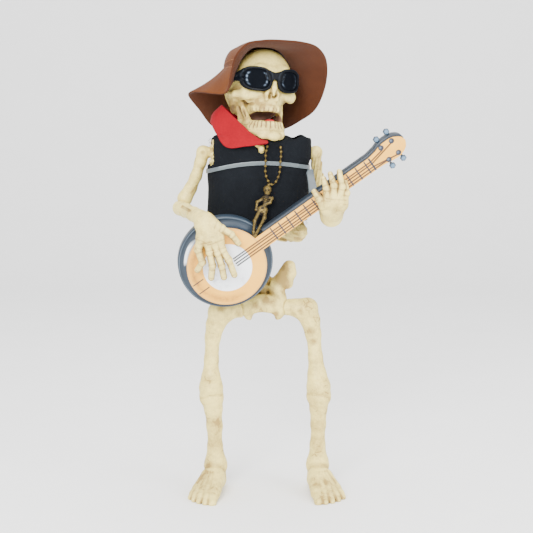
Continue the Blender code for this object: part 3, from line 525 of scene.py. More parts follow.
def skull_form(q):
    m = both_sides(q)
    body = egg(q, (0, 4, 2), (27.6, 35, 31.5))
    body = blend(body, egg(q, (0, -12, 8), (23, 18.5, 24.5)), 5.0)
    body = blend(body, egg(q, (0, 9, -14), (19, 19, 12)), 4.0)
    body = blend(body, egg(m, (20, 5, -17), (4.2, 5.2, 7)), 2.5)
    body = carve(body, egg(m, (33, -15, 4), (9, 13, 13)), 4.0)
    body = blend(body, egg(q, (-1, -19, -12.5), (13, 13.3, 13)), 3.5)
    body = blend(body, limb(m, ((0, -28, 10.5, 4), (11, -27.5, 12, 4.4), (20.5, -20.5, 8.5, 3.6))), 2.5)
    body = blend(body, rod(m, (20.5, -20.5, 8.5, 3.2), (21, -20.5, -6, 3.4)), 2.0)
    body = blend(body, limb(m, ((9, -27, -9, 3.6), (20.5, -21, -9, 4.8), (26, -11, -8.5, 3), (26.5, 4, -7, 2.5))), 2.5)
    gum = both_sides(q, -1)
    body = blend(body, limb(gum, ((0, -30, -21, 2.8), (6.5, -28.2, -21, 2.8), (11, -21, -21, 2.8), (12.5, -12, -20, 2.8))), 2.5)
    body = carve(body, egg(m, (11.3, -32, 2), (8.4, 11, 7.4)), 1.5)
    body = carve(body, egg(m, (21, -9, -22), (8, 11, 9)), 3.0)
    return blend(body, rod(q, (0, -27.5, 8, 3.4), (0, -33.5, -1, 2.7)), 1.5)


def skull(q):
    m = both_sides(q)
    body = skull_form(q)
    body = carve(body, melt([egg(m, (2.7, -34, -9.5), (3.2, 6, 3.8)), egg(q, (0, -34, -6), (2.6, 6, 5.5))], 1.0), 0.8)
    return carve(body, egg(q, *MOUTH), 1.5)


def detailed_skull(q):
    m = both_sides(q)
    body = skull_form(q)
    nose = both_sides(q, -1.7)
    body = blend(body, limb(q, ((-0.5, -33, 3, 2.4), (-1.4, -35.4, -4, 2.6), (-1.8, -36, -9, 1.9))), 1.5)
    body = blend(body, limb(nose, ((1.5, -34, -1, 1.8), (4.6, -33, -9, 1.9), (4.4, -31.5, -13, 2.2))), 1.5)
    body = carve(body, rod(nose, (2.6, -36.6, -9.2, 1.6), (2.4, -31, -11, 1.9)), 0.6)
    body = carve(body, rod(nose, (1.9, -36.2, -4.5, 0.5), (2.5, -35.4, -8.5, 1.0)), 0.8)
    body = carve(body, egg(m, (11.5, -31, -14), (3.4, 3, 3.2)), 2.2)
    body = carve(body, egg(m, (16.4, -10, -14.8), (3.2, 4, 2.4)), 0.8)
    body = carve(body, rod(m, (15, -13, -16.5, 1.0), (14, -23, -16.6, 0.8)), 0.8)
    body = body + 0.35 * between(q[:, 2], -21.5, -19.5, 1.4) * (q[:, 1] < -8)
    body = body + teeth(q, -14.0, -28.0, -20.5, 0.55)
    body = body - 0.4 * np.exp(-((m[:, 0] - 21) / 5) ** 2) * np.exp(-((q[:, 2] - 14) / 6) ** 2)
    dents = 0.3 * np.sin(q[:, 0] / 2.1 + q[:, 2] / 4.3) * np.sin(q[:, 2] / 2.7 - q[:, 1] / 5) * between(q[:, 2], -30, -7, 6)
    return carve(body + dents, egg(q, *MOUTH), 1.5)


def jaw_form(q):
    q = q * np.array((1, 1, 1)) + np.maximum(q[:, :1] - 4, 0) * np.array((0.13, 0, 0)) + np.array((0.6, 0, 0))
    m = both_sides(q, JAW_MIDDLE)
    front = q - np.array((JAW_MIDDLE, 0, 0))
    body = limb(m, ((20.8, 1, -13, 2.1), (19.3, 1, -20, 2.4), (17, -2, -30, 3.2), (14, -17, -38, 4), (8, -27.5, -42, 4.6),
                    (0, -30.5, -43, 4.8)), 2.0)
    body = blend(body, limb(m, ((19.4, -6, -15, 2), (18, -8, -22, 2.2), (15.5, -12, -31, 2.8))), 3.0)
    body = blend(body, egg(front, (0, -33, -44.5), (6.5, 4, 4)), 2.0)
    body = blend(body, limb(m, ((14.5, -16, -36.5, 3.4), (9, -26, -38.5, 3.8), (0, -30, -39, 4))), 1.5)
    body = blend(body, limb(m, ((13.5, -15, -33, 2.6), (9, -25.5, -34.4, 2.9), (0, -30, -34.6, 3))), 1.5)
    return blend(body, egg(front, (0, -15, -40), (14, 14, 3)), 2.0)


def jaw(q):
    return clear_of(jaw_form(q), [skull(q)], CLEAR)


def detailed_jaw(q):
    body = jaw_form(q) + teeth(q - np.array((JAW_MIDDLE, 0, 0)), -14.0, -38.0, -31.5, 0.75)
    body = carve(body, rod(both_sides(q, JAW_MIDDLE), (20.5, -9.5, -20, 0.7), (18.5, -11.5, -27, 0.6)), 0.8)
    body = body + 0.45 * between(q[:, 2], -40.2, -38.6, 1.4) * (q[:, 1] < -14)
    return clear_of(body, [skull(q)], CLEAR - 0.3)


def tongue(q):
    body = egg(q, (2, -21, -32.6), (4.5, 7.5, 3.6))
    body = body + 0.4 * np.exp(-((q[:, 0] - 2) / 0.9) ** 2)
    return clear_of(body, [jaw(q), skull(q)], CLEAR)


def in_mouth(q):
    """One inside the open mouth, where the real moulding is sprayed brown, and zero outside it."""
    cavity = np.clip(0.5 - egg(q, (3, -2, -28.5), (16.3, 27.3, 9.5)) / 1.2, 0, 1)
    upper = -teeth(q, -14.0, -28.0, -20.5, -0.55)
    lower = -teeth(q - np.array((JAW_MIDDLE, 0, 0)), -14.0, -38.0, -31.5, -0.55)
    gaps = np.clip((np.maximum(upper, lower) - 0.12) * 2.2, 0, 0.65) * (q[:, 1] < -10)
    return np.maximum(cavity, gaps)


# Extra wash round the face, with painted shade: the large mark low on the skull's side, behind the jaw, paints its
# shade.
HEAD_WASH_AND_SHADE = (((-16, -9, -15), 3.6, 0.9), ((-11.5, -25, -15.5), 2.2, 0.55), ((-19, -7, -16.5), 2.4, 0.6), ((-18, -9, -24), 3.2, 0.45),
             ((-16, -12.5, -29), 3, 0.5), ((-9.3, -30, -20), 2.5, 0.35), ((-3, -34, -18), 2.8, 0.4), ((2, -33, -20), 2.4, 0.35),
             ((-24.8, -8.5, -5), 5, 0.5), ((-22.5, 3, -20), 7, 0.8), ((-6, -33, -11), 2.4, 0.4), ((4, -32.5, -10), 2.4, 0.3))


def washed_and_shaded(marks, axes=lambda p: p):
    """Extra marks in soft round spots: wash where a painter let it gather, and painted shade where a part lies in
    shadow.
    """
    return lambda p: np.max([strong * np.clip(1.4 - length(axes(p) - np.array(at)) / size, 0, 1) for at, size, strong in marks], axis=0)


HEAD_STAIN_AND_SHADE = washed_and_shaded(HEAD_WASH_AND_SHADE)
# The red piece is painted darker in its hollows: painted shade.
RED_LOOK = Finish("red plastic", Coat_Weight=0.3, Roughness=0.3)
RED_LOOK.wear(Base_Color=RED_LOOK.mixed(RED_LOOK.mark("stain"), (0.55, 0.02, 0.03), (0.2, 0.01, 0.01)))
moulded("skull_moulding", detailed_skull, (-34, -42, -30), (34, 44, 34), 0.62, BONE, "bone", ["skull"], from_head, in_mouth, HEAD_STAIN_AND_SHADE)
moulded("jaw_moulding", detailed_jaw, (-30, -42, -54), (30, 8, -8), 0.55, BONE, "bone", ["jaw"], from_head, in_mouth, HEAD_STAIN_AND_SHADE)
moulded("tongue_insert", tongue, (-10, -32, -40), (10, -6, -24), 0.6, RED_LOOK.material, "red_plastic", ["tongue"], from_head)

# %% [markdown]
# ## The trunk
#
# Most of the trunk hides under the vest: the ribs show at the arm holes and as one wavy lump
# below the banjo's neck. The rib cage is a rounded box with a wave running over it for the ribs,
# and the spine is a rod with the same wave, tighter, for its bones. The pelvis is open wings on a
# thick middle, with the round sockets that the thighs go into.

# %% Neck, ribs, spine and pelvis


def ribcage(p, relief=RIB_RELIEF):
    q = p - np.array(TORSO_AT)
    inner = np.array(TORSO_HALF) - TORSO_ROUND
    past = np.maximum(np.abs(q) - inner, 0.0)
    body = length(past) - TORSO_ROUND
    side = np.abs(q[:, 0])
    ribs = np.cos(2 * math.pi * (q[:, 2] + 0.32 * side - 0.25 * q[:, 1]) / RIB_PITCH)
    body = body + relief * (1.0 - ribs) * np.clip(1.5 - np.abs(q[:, 2]) / 40.0, 0, 1) * 0.5
    arch = egg(q, (0, -18, -46), (20, 24, 24))
    return carve(body, arch, 2.5)


def breastbone(p):
    """The ribs with the small knob that shows under the neckerchief."""
    knob = blend(rod(p, (-5, -16, 303, 2.6), (-4.2, -28.6, 310, 2.5)), rod(p, (-9, -26, 313.5, 1.6), (-5, -28, 311.5, 1.8)), 1.0)
    side = rod(p, (-41.6, -5, 294, 8), (-41.6, -5, 311, 7.4)) + 0.8 * np.cos(2 * math.pi * (p[:, 2] + 0.3 * p[:, 1]) / 6.5)
    knob = np.minimum(knob, side)
    wave = 0.9 * np.cos(2 * math.pi * (p[:, 2] + 0.35 * p[:, 0]) / 5.5) * np.clip((247 - p[:, 2]) / 6, 0, 1)
    lump = egg(p, (24.5, -9, 237), (11.5, 10, 9.5))
    lump = lump + 0.8 * np.sin(p[:, 2] * 1.3 + 0.5 * p[:, 0] + 1.5 * np.sin(p[:, 0] / 3.2)) * np.cos(p[:, 0] / 4.5 + 0.4)
    return blend(blend(ribcage(p, 2.2) + wave, lump, 3.0), knob, 2.0)


def neck(p):
    body = limb(p, ((-6, 9, 334, 5.2), (-6.5, 8, 305, 5.6)))
    rings = 0.9 * np.cos(2 * math.pi * (p[:, 2] - 305) / 7.5)
    body = body - rings
    return clear_of(body, [skull(in_head(p)), jaw(in_head(p)), ribcage(p)], CLEAR)


def pelvis_form(p):
    m = both_sides(p, HIP_AT[0])
    wing = limb(m, ((10, 6, 186, 5), (21, 1, 190, 5), (24.5, -1, 199, 4.8), (24, -1, 206, 4.4)), 2.0)
    wing = blend(wing, limb(m, ((9, 6, 186, 6), (15, 5, 193, 5.2), (21, 2, 204, 4.4))), 5.0)
    body = blend(wing, egg(m, (0, 9, 184), (10, 6, 15)), 3.0)
    body = blend(body, limb(m, ((13, 4, 184, 6), (15, 1, 168, 7.5))), 3.0)
    body = blend(body, egg(m, (0, -2, 171), (17, 8, 9.5)), 3.0)
    return blend(body, limb(m, ((15, 2, 167, 5.8), (12.5, 1, 161.5, 4.6), (2, -5, 166, 3.4))), 2.0)


def detailed_pelvis(p):
    m = both_sides(p, HIP_AT[0])
    body = pelvis_form(p)
    body = carve(body, egg(m, (16.5, -7.5, 199), (4.6, 4.2, 9)), 3.0)
    body = carve(body, egg(m, (6.5, -12, 176), (3, 3.4, 4.2)), 1.5)
    body = carve(body, rod(m, (9, -9, 184, 1.1), (21, -6, 178, 0.8)), 1.2)
    body = carve(body, egg(m, (4.6, 2, 190), (1.6, 3.5, 1.8)), 0.8)
    body = carve(body, egg(m, (4.2, 3, 181), (1.5, 3, 1.6)), 0.8)
    body = carve(body, egg(m, (0, -4, 158.5), (11, 16, 6.5)), 2.0)
    lumps = 0.35 * np.sin(p[:, 0] / 2.3 + 0.8) * np.sin(p[:, 2] / 2.9) * np.sin(p[:, 1] / 3.1 + 1.0)
    return body + lumps


def lumbar(p):
    body = limb(p, ((-5.5, 7, 238, 6), (-4, 7, 192, 6)))
    body = body - 1.4 * np.cos(2 * math.pi * (p[:, 2] - 192) / 9.0)
    body = blend(body, rod(p, (-5.5, 14, 232, 2), (-4, 14, 200, 2)), 2.0)
    return clear_of(body, [ribcage(p), pelvis_form(p)], CLEAR + LOOSE / 2)


moulded("neck_moulding", neck, (-16, -4, 300), (4, 22, 345), 0.9, BONE, "bone", ["neck"], paint=lambda p: between(p[:, 2], 322, 360, 6))
moulded("ribcage_moulding", breastbone, (-54, -34, 210), (40, 30, 325), 1.1, BONE, "bone", ["ribcage"])
moulded("spine_moulding", lumbar, (-16, -6, 185), (8, 22, 250), 0.7, BONE, "bone", ["lumbar_spine"])
# Wash and painted shade on the pelvis: the inner face of each blade and the hollows of its middle are painted darker.
blade_wash_and_shade = washed_and_shaded((((13, -3, 204), 8, 0.7), ((11, -3, 196), 7, 0.6), ((16, -4, 192), 5, 0.45), ((17.6, -3, 188.5), 3, 0.8),
                     ((-1, -9, 176), 4, 0.5), ((6, -9, 174), 4, 0.4), ((-10, -8, 172), 4, 0.4), ((8, -6, 163), 3, 0.35)))
moulded("pelvis_moulding", detailed_pelvis, (-36, -18, 146), (30, 26, 216), 0.62, BONE, "bone", ["pelvis"], wash_and_shade=blade_wash_and_shade)

# %% [markdown]
# ## Legs
#
# Each leg is one moulding from the hip to the toes. A list of stations gives its centre line and
# how thick it is, taken down the photograph, so the knees and ankles swell where the real ones
# do. The knee has two grooves, the foot has tendons that run to the toes, and every toe has a
# knuckle and a groove beside it, where the brown wash gathers.

# %% Legs and feet
LEFT_LEG = ((17.5, 0, 168.5, 7.4), (27, 0, 168, 7.6), (36.5, 0, 167.5, 8.9), (40.6, 0, 157, 6.7), (42, 0, 143, 6.3),
            (43.8, -1, 124, 6.2), (45.3, -2, 107, 8.2), (46.6, -3, 97, 10.3), (46.9, -3, 88, 9.9), (46.7, -1, 77, 7.6),
            (46.6, 0, 61, 6.6), (46.2, 2, 42, 6.5), (46.5, 4, 28, 9))
RIGHT_LEG = ((-23.5, 0, 166.5, 7.4), (-33, 0, 165.5, 7.6), (-43, 0, 163.5, 8.9), (-47, 0, 153, 6.6), (-48.3, 0, 140, 6.3),
             (-49.3, -1, 121, 6.1), (-49.8, -2, 105, 8), (-49.6, -3, 96, 10.2), (-49, -3, 87, 9.9), (-47.8, -1, 76, 7.8),
             (-46.9, 0, 60, 6.7), (-46.6, 2, 41, 6.6), (-46.3, 4, 28, 9))
LEFT_TOES = ((45.5, -44), (51.5, -43.5), (57.5, -40.5), (63, -35.5), (67.5, -29))
RIGHT_TOES = ((-47.5, -46), (-53.5, -45), (-59, -41.5), (-63.5, -36.5), (-67, -30))


def foot(p, ankle, toes):
    x, y, z = ankle
    lean = math.copysign(1.0, x)
    body = limb(p, ((x, y, z, 8.6), (x - lean, y + 7, 9, 8.8)), 3.0)
    big_toe = toes[0]
    body = blend(body, rod(p, (x - 1.5 * lean, y - 7, 15, 8), (big_toe[0] - lean, big_toe[1] + 15, 8, 5.6)), 3.0)
    for i, (tx, ty) in enumerate(toes):
        big = 1.0 if i == 0 else 0.0
        instep = (x + 0.3 * (tx - x), y - 8, 18 - i, 8)
        root = (x + 0.72 * (tx - x), y + 0.55 * (ty - y), 10 - 0.6 * i, 5.6)
        knuckle = (x + 0.9 * (tx - x), y + 0.8 * (ty - y), 5.8, 3.7 + 0.6 * big)
        tip = (tx, ty + 3.2, 3.6, 3.0 + 0.7 * big)
        body = blend(body, rod(p, instep, root), 2.2)
        toe = limb(p, (root, knuckle, tip), 0.8)
        toe = blend(toe, egg(p, knuckle[:3], (3.6 + big, 3.4, 4.1)), 1.0)
        body = blend(body, toe, 0.9)
    for (ax, ay), (bx, by) in zip(toes, toes[1:]):
        mx, my = (ax + bx) / 2, (ay + by) / 2
        top = (x + 0.42 * (mx - x), y - 13, 22, 0.5)
        low = (x + 0.8 * (mx - x), y + 0.68 * (my - y), 13.5, 0.9)
        flat = np.array((1, 0, 1))
        line = rod(p * flat, (top[0], 0, top[2], 0), (low[0], 0, low[2], 0))
        body = body + 0.55 * np.exp(-(line / 0.9) ** 2) * (p[:, 1] < y - 6)
    ankle_bones = np.minimum(egg(p, (x + 7.5, y + 1, z - 4), (3, 4, 5)), egg(p, (x - 7.5, y + 1, z - 4), (3, 4, 5)))
    return blend(body, ankle_bones, 3.0)


def leg(p, stations, toes):
    body = limb(p, stations, 3.0)
    x, y, z, _ = stations[7]
    side = math.copysign(1.0, x)
    inner, outer = stations[1], stations[2]
    web = rod(p, ((inner[0] + outer[0]) / 2, 0, outer[2] - 5, 4.8), (stations[4][0] - 1.5 * side, 0, stations[4][2] + 4, 4.8))
    body = blend(body, web, 6.0)
    body = blend(body, egg(p, (x, y - 6, z), (6.5, 5, 7)), 2.5)
    body = blend(body, egg(p, (x - 6.4, y - 1, z - 9), (4, 6, 5)), 2.5)
    body = blend(body, egg(p, (x + 6.4, y - 1, z - 9), (4, 6, 5)), 2.5)
    sunk = p + np.array((0, 0, SOLE_SINK))
    body = blend(body, foot(sunk, stations[-1][:3], toes), 3.0)
    tilt = 0.16 * side * (p[:, 0] - x)
    body = body - 0.9 * np.exp(-((p[:, 2] - z - 5 + tilt) / 2.6) ** 2) * between(np.abs(p[:, 0] - x), -9, 9, 4) * (p[:, 1] < y)
    for high, wide, deep in ((z - 5.5, 10.5, 0.6), (z - 13, 5.0, 0.35)):
        line = np.exp(-((p[:, 2] - high + tilt + 0.02 * (p[:, 0] - x) ** 2) / 0.95) ** 2)
        body = body + deep * line * (p[:, 1] < y) * between(np.abs(p[:, 0] - x), -wide, wide, 4)
    body = carve(body, rod(p, (x + 2.2 * side, y - 8, z + 22, 0.5), (x - side, y - 7.4, z + 46, 0.4)), 1.0)
    body = carve(body, rod(p, (x + side, y - 8.6, z - 24, 0.5), (x + side, y - 7.6, z - 52, 0.4)), 1.0)
    lumps = 0.22 * np.sin(p[:, 2] / 5.3 + p[:, 0] / 4.1) * np.sin(p[:, 0] / 3.7 + p[:, 1] / 4.9) * np.sin(p[:, 2] / 11.7)
    body = clear_of(body + lumps, [pelvis_form(p)], CLEAR)
    return np.maximum(body, -p[:, 2])


LEFT_LEG_WASH = washed_and_shaded((((40, -7, 148), 4, 0.4), ((42, -7, 138), 3.5, 0.35), ((30, -7, 166), 3, 0.35), ((24, -7, 163), 3, 0.3),
                         ((45, -4, 62), 7, 0.3), ((45, -5, 46), 7, 0.3), ((54, -22, 16), 4, 0.6), ((50, -20, 20), 3, 0.55), ((45, -26, 14), 4, 0.4)))
RIGHT_LEG_WASH = washed_and_shaded((((-24, -7, 163), 4, 0.4), ((-40, -7, 168), 3.5, 0.4), ((-46, -4, 62), 7, 0.3), ((-46, -5, 46), 7, 0.3),
                          ((-52, -24, 17), 3.5, 0.45), ((-45, -22, 20), 3.5, 0.45), ((-58, -26, 12), 3, 0.4)))
moulded("left_leg_moulding", lambda p: leg(p, LEFT_LEG, LEFT_TOES), (6, -56, -3), (80, 26, 182), 0.72, BONE, "bone", ["leg_left"],
        wash_and_shade=LEFT_LEG_WASH)
moulded("right_leg_moulding", lambda p: leg(p, RIGHT_LEG, RIGHT_TOES), (-80, -56, -3), (-12, 26, 182), 0.72, BONE, "bone",
        ["leg_right"], wash_and_shade=RIGHT_LEG_WASH)

# %% [markdown]
# ## Arms and hands
#
# The upper arms hang from short pins in the shoulders. Each hand is one moulding: a solid back,
# four fingers and a thumb. The fingers are chains of stations, with a swelling at every knuckle
# and a fine crease on each side of it.

# %% Arms and hands
RIGHT_UPPER_ARM = ((-55.5, 0, 306, 5.8), (-58, 0, 297, 4.9), (-62, 1, 285, 4.8), (-67, 2, 274, 5.2), (-72, 2, 265.5, 6.8))
RIGHT_FOREARM = ((-76, -1, 257, 6.8), (-70, -18, 256.5, 6), (-62, -42, 255.5, 6), (-55, -56, 253.5, 7))
LEFT_UPPER_ARM = ((43.4, 0, 306, 5.4), (44, 8, 295, 4.5), (46.5, 17, 282, 4.7), (49, 25, 271, 5.8), (50, 28, 266, 6.6))
LEFT_FOREARM = ((51.5, 27, 257, 6.2), (53, 12, 252, 5.6), (54.6, -8, 250, 5.4), (55.5, -24, 251.5, 5.8))
SHOULDER_IN = 11.0
RIGHT_WRIST, LEFT_WRIST = (-51.5, -62.5, 250.5, 6.3), (55.3, -39, 254, 5.7)
RIGHT_FINGERS = (
    ((-54, -65, 238, 4.3), (-57, -66, 228, 3.3), (-53.5, -66.5, 217.5, 2.8), (-58, -60.5, 210, 2.6)),
    ((-49.5, -66, 236.5, 4.4), (-47.3, -67, 226, 3.3), (-45.2, -67, 214.5, 2.9), (-46.5, -60.5, 203.5, 2.7)),
    ((-44.5, -66.5, 236.5, 4.4), (-41, -67, 225.5, 3.3), (-37.6, -66.5, 214.5, 2.9), (-35.8, -60.5, 204, 2.7)),
    ((-40, -66, 238, 4.2), (-37, -66.5, 228, 3.3), (-31.8, -66, 219.5, 2.9), (-27, -60.5, 206, 2.7)),
    ((-44, -63.5, 248, 4.4), (-37.5, -64, 245.5, 3.2), (-29.5, -63.5, 240.5, 2.8), (-23.6, -60, 232.5, 2.6)))
LEFT_FINGERS = (
    ((50, -58, 262, 4.4), (44, -62, 270, 3.2), (40, -60.5, 276, 2.4)),
    ((51, -61.5, 267, 4.2), (50, -64, 279, 3.0), (47.5, -61.5, 287, 2.2)),
    ((55.5, -62.5, 268, 4.4), (56, -65, 281, 3.0), (53, -62, 291, 2.2)),
    ((60, -62, 268, 4.2), (62.5, -64.5, 280, 3.0), (60.5, -62, 293, 2.2)),
    ((63.5, -59.5, 265, 4.0), (66.5, -62.5, 275, 2.9), (65.5, -60, 284, 2.2)))


def banjo_room(p):
    """The space that the banjo takes up, for the hands to stay clear of."""
    q = in_banjo(p)
    radial = np.hypot(q[:, 0], q[:, 1]) - POT_RADIUS
    drum = np.maximum(radial, np.abs(q[:, 2] + 17) - 6.0)
    face = np.maximum(radial + POT_RADIUS - FACE_RADIUS, np.abs(q[:, 2] + 8) - 8.0)
    neck_room = slab(q, (30, -NECK_WIDTH / 2, -NECK_DEPTH - 1.8), (150, NECK_WIDTH / 2, 0))
    return np.minimum(np.minimum(drum, face), neck_room)


def upper_arm(p, stations):
    top = stations[0]
    inward = (top[0] - math.copysign(SHOULDER_IN, top[0]), top[1], top[2], 3.6)
    body = blend(limb(p, stations, 2.5), rod(p, top, inward), 1.5)
    return clear_of(body, [ribcage(p)], CLEAR)


def grooved_arm(p, stations, ripple):
    """An upper arm, with lengthwise ridges where the mould has them."""
    body = upper_arm(p, stations)
    shaft = between(p[:, 2], stations[-1][2] + 6, stations[0][2] - 4, 8)
    body = body + ripple * shaft * np.sin(2 * math.pi * (p[:, 0] - 0.12 * p[:, 2]) / 2.9)
    top = np.array(stations[0][:3])
    return carve(body, egg(p, top + (0, -6.5, 0), (1.6, 1.4, 1.6)), 1.2)


def forearm(p, stations, upper):
    return clear_of(limb(p, stations, 2.5), [upper_arm(p, upper)], CLEAR)


def slotted_forearm(p, stations, upper):
    body = forearm(p, stations, upper)
    ax, ay, az, _ = stations[0]
    return carve(body, rod(p, (ax + 2.5, ay - 22, az + 3.6, 1.5), (ax + 12.5, ay - 51, az + 1.6, 0.9)), 0.4)


def hand(p, wrist, fingers, arm, soft):
    palm = rod(p, wrist, wrist)
    digits = None
    for finger in fingers:
        palm = blend(palm, rod(p, wrist, finger[0]), soft)
        digit = limb(p, finger, 0.8)
        for x, y, z, thick in finger[1:-1]:
            digit = blend(digit, egg(p, (x, y, z), (thick * 1.13,) * 3), 0.8)
        for a, b in zip(finger[1:], finger[2:]):
            a, b = np.array(a), np.array(b)
            for share in (0.18, 0.3):
                crease = a * (1 - share) + b * share
                step = unit(b[:3] - a[:3])
                ring = np.abs((p - crease[:3]) @ step)
                near = length(p - crease[:3]) - crease[3] * 1.6
                digit = digit + 0.13 * np.exp(-(ring / 0.45) ** 2) * (near < 0)
        digits = digit if digits is None else np.minimum(digits, digit)
    body = blend(palm, digits, 3.2)
    return clear_of(body, [forearm(p, *arm), banjo_room(p)], CLEAR)


def hand_wash(fingers):
    """Wash in rings at the knuckles and over the tips."""
    def stain(p):
        dark = np.zeros(len(p))
        for finger in fingers:
            for a, b in zip(finger, finger[1:]):
                a, b = np.array(a), np.array(b)
                step = unit(b[:3] - a[:3])
                for share in (0.24, 0.9):
                    spot = a * (1 - share) + b * share
                    near = length(p - spot[:3]) < 1.7 * spot[3]
                    dark = np.maximum(dark, 0.26 * near * np.exp(-(((p - spot[:3]) @ step) / 0.55) ** 2))
            tip = np.array(finger[-1])
            below = length(p - tip[:3] + np.array((0, 0, 0.8 * tip[3])))
            dark = np.maximum(dark, 0.75 * np.clip(1.5 - below / tip[3], 0, 1) * (p[:, 1] > tip[1] - 2))
        return dark
    return stain


RIGHT_ARM, LEFT_ARM = (RIGHT_FOREARM, RIGHT_UPPER_ARM), (LEFT_FOREARM, LEFT_UPPER_ARM)
moulded("right_upper_arm", lambda p: grooved_arm(p, RIGHT_UPPER_ARM, 0.05), (-84, -10, 252), (-38, 14, 316), 0.7, BONE, "bone",
        ["upper_arm_right"])
moulded("left_upper_arm", lambda p: grooved_arm(p, LEFT_UPPER_ARM, 0.4), (26, -10, 254), (62, 40, 316), 0.7, BONE, "bone",
        ["upper_arm_left"])
moulded("right_forearm", lambda p: slotted_forearm(p, *RIGHT_ARM), (-88, -68, 240), (-42, 12, 272), 0.7, BONE, "bone",
        ["forearm_right"])
moulded("left_forearm", lambda p: slotted_forearm(p, *LEFT_ARM), (42, -36, 236), (66, 38, 270), 0.7, BONE, "bone",
        ["forearm_left"])
moulded("right_hand", lambda p: hand(p, RIGHT_WRIST, RIGHT_FINGERS, RIGHT_ARM, 5.0), (-66, -76, 196), (-16, -42, 262), 0.5,
        BONE, "bone", ["hand_right"], wash_and_shade=hand_wash(RIGHT_FINGERS))
moulded("left_hand", lambda p: hand(p, LEFT_WRIST, LEFT_FINGERS, LEFT_ARM, 7.0), (32, -76, 238), (78, -20, 300), 0.5,
        BONE, "bone", ["hand_left"], wash_and_shade=hand_wash(LEFT_FINGERS))

# %% [markdown]
# ## Dark glasses
#
# The real glasses are one glossy moulding with thin dark lenses pressed in. They are drawn in the
# head's own axes: a front that curves round the face, cut by two soft-cornered openings, and a
# temple on each side. The lenses fill the openings, so that frame and lens read as one dark form.
# Their bevel catches the lamps in a pale line, which the finish paints where the mark says.

# %% Frame and lenses
LENS_AT, LENS_HALF, FRAME_RIM, GLASSES_MIDDLE = (14.8, 2.9), (10.3, 8.5), 1.9, -1.4


def glasses_front(q):
    return -37.6 + 0.017 * q[:, 0] ** 2


def lens_ring(q):
    """One on the edge of a lens, zero at its middle."""
    m = both_sides(q, GLASSES_MIDDLE)
    across = (m[:, 0] - LENS_AT[0]) / LENS_HALF[0]
    up = (m[:, 2] - LENS_AT[1] - 0.09 * (m[:, 0] - LENS_AT[0])) / LENS_HALF[1]
    return (np.abs(across) ** 2.6 + np.abs(up) ** 2.6) ** (1 / 2.6)


def lens_outline(q):
    return (lens_ring(q) - 1.0) * min(LENS_HALF)


def glasses_frame(q):
    m = both_sides(q, GLASSES_MIDDLE)
    deep = np.abs(q[:, 1] - glasses_front(q)) - 1.4
    rim = carve(carve(lens_outline(q) - FRAME_RIM, -deep, 0.9), lens_outline(q) + 0.2, 0.5)
    bridge = np.maximum(limb(m, ((0, -37.2, 5.6, 3.2), (5, -37, 5.6, 4.4))), deep)
    upper = limb(m, ((25, -27, 9.2, 2), (28.8, -20, 6.4, 1.7), (30.5, 3, 0.6, 1.3), (29.5, 10, -5, 1.3)), 1.0)
    lower = limb(m, ((25, -27, 2.2, 2), (28.8, -20, 3, 1.7), (30.5, 3, -0.8, 1.3)), 1.0)
    body = melt([rim, bridge, blend(upper, lower, 2.0)], 1.0)
    return clear_of(body, [skull_form(q)], 0.4)


def glasses_lens(q, side):
    deep = np.abs(q[:, 1] - glasses_front(q) - 0.5 + 0.9 * (1 - np.minimum(lens_ring(q), 1) ** 2)) - 0.7
    body = carve(lens_outline(q) + 0.1, -deep, 0.4)
    return clear_of(np.maximum(body, -side * q[:, 0]), [skull_form(q)], 0.4)


def painted_highlight(q):
    """Painted reflections of the lamps: pale lines just inside the bevel, broken up as lamps and windows are, and a
    faint one along the top of the frame.
    """
    ring, m = lens_ring(q), both_sides(q, GLASSES_MIDDLE)
    side = np.clip((np.abs(m[:, 0] - LENS_AT[0]) / LENS_HALF[0] - 0.42) * 4, 0, 1)
    broken = 0.55 + 0.45 * np.sin(q[:, 2] * 1.9 + 0.6 * q[:, 0])
    inner = np.exp(-((ring - 0.74) / 0.055) ** 2) * side * broken
    rim = 0.2 * np.exp(-((ring - 1.17) / 0.05) ** 2) * np.clip(q[:, 2] / 6, 0, 1)
    return np.clip(inner * np.clip(0.75 - q[:, 0] / 26, 0.25, 1) + rim, 0, 1)


def dark_finish(name, rough, glint, pale):
    look = Finish(name, Roughness=rough, Specular_IOR_Level=glint)
    smear = look.noise(7, 3, 0.6)
    shade = look.mixed(smear, (0.0015, 0.002, 0.0035), (0.0035, 0.0045, 0.0065))
    # The paint mark brings in the pale colour: a painted reflection of the lamps.
    return look.wear(Base_Color=look.mixed(look.mark("paint") * look.held(smear, 0.25, 0.6), shade, pale))


# The last colour of each dark finish is that of its painted reflections.
BLACK_GLOSS = dark_finish("glossy black", 0.35, 0.06, (0.05, 0.07, 0.095))
DARK_LENS = dark_finish("dark lens", 0.6, 0.015, (0.16, 0.21, 0.28))
moulded("glasses_frame", glasses_frame, (-35, -42, -14), (35, 15, 18), 0.42, BLACK_GLOSS, "gloss_black",
        ["sunglasses_frame"], from_head, painted_highlight)
for name, side, node in (("glasses_lens_right", -1, "lens_right"), ("glasses_lens_left", 1, "lens_left")):
    low, high = (min(side * 28, 0) - 1, -41, -8), (max(side * 28, 0) + 1, -24, 14)
    moulded(name, lambda q: glasses_lens(q, side), low, high, 0.45, DARK_LENS, "dark_lens", [node], from_head, painted_highlight)

# %% [markdown]
# ## Felt, cotton and weave
#
# Felt is a mat of short fibres: no threads, a soft sheen, and a nap that is brushed lighter in
# patches. The neckerchief is thin cotton with a fine square weave, and the vest is a coarse black
# one. The weaves follow marks kept on the cloth, the run round the body and the run down it, so
# that threads bend with the folds.

# %% Cloth finishes


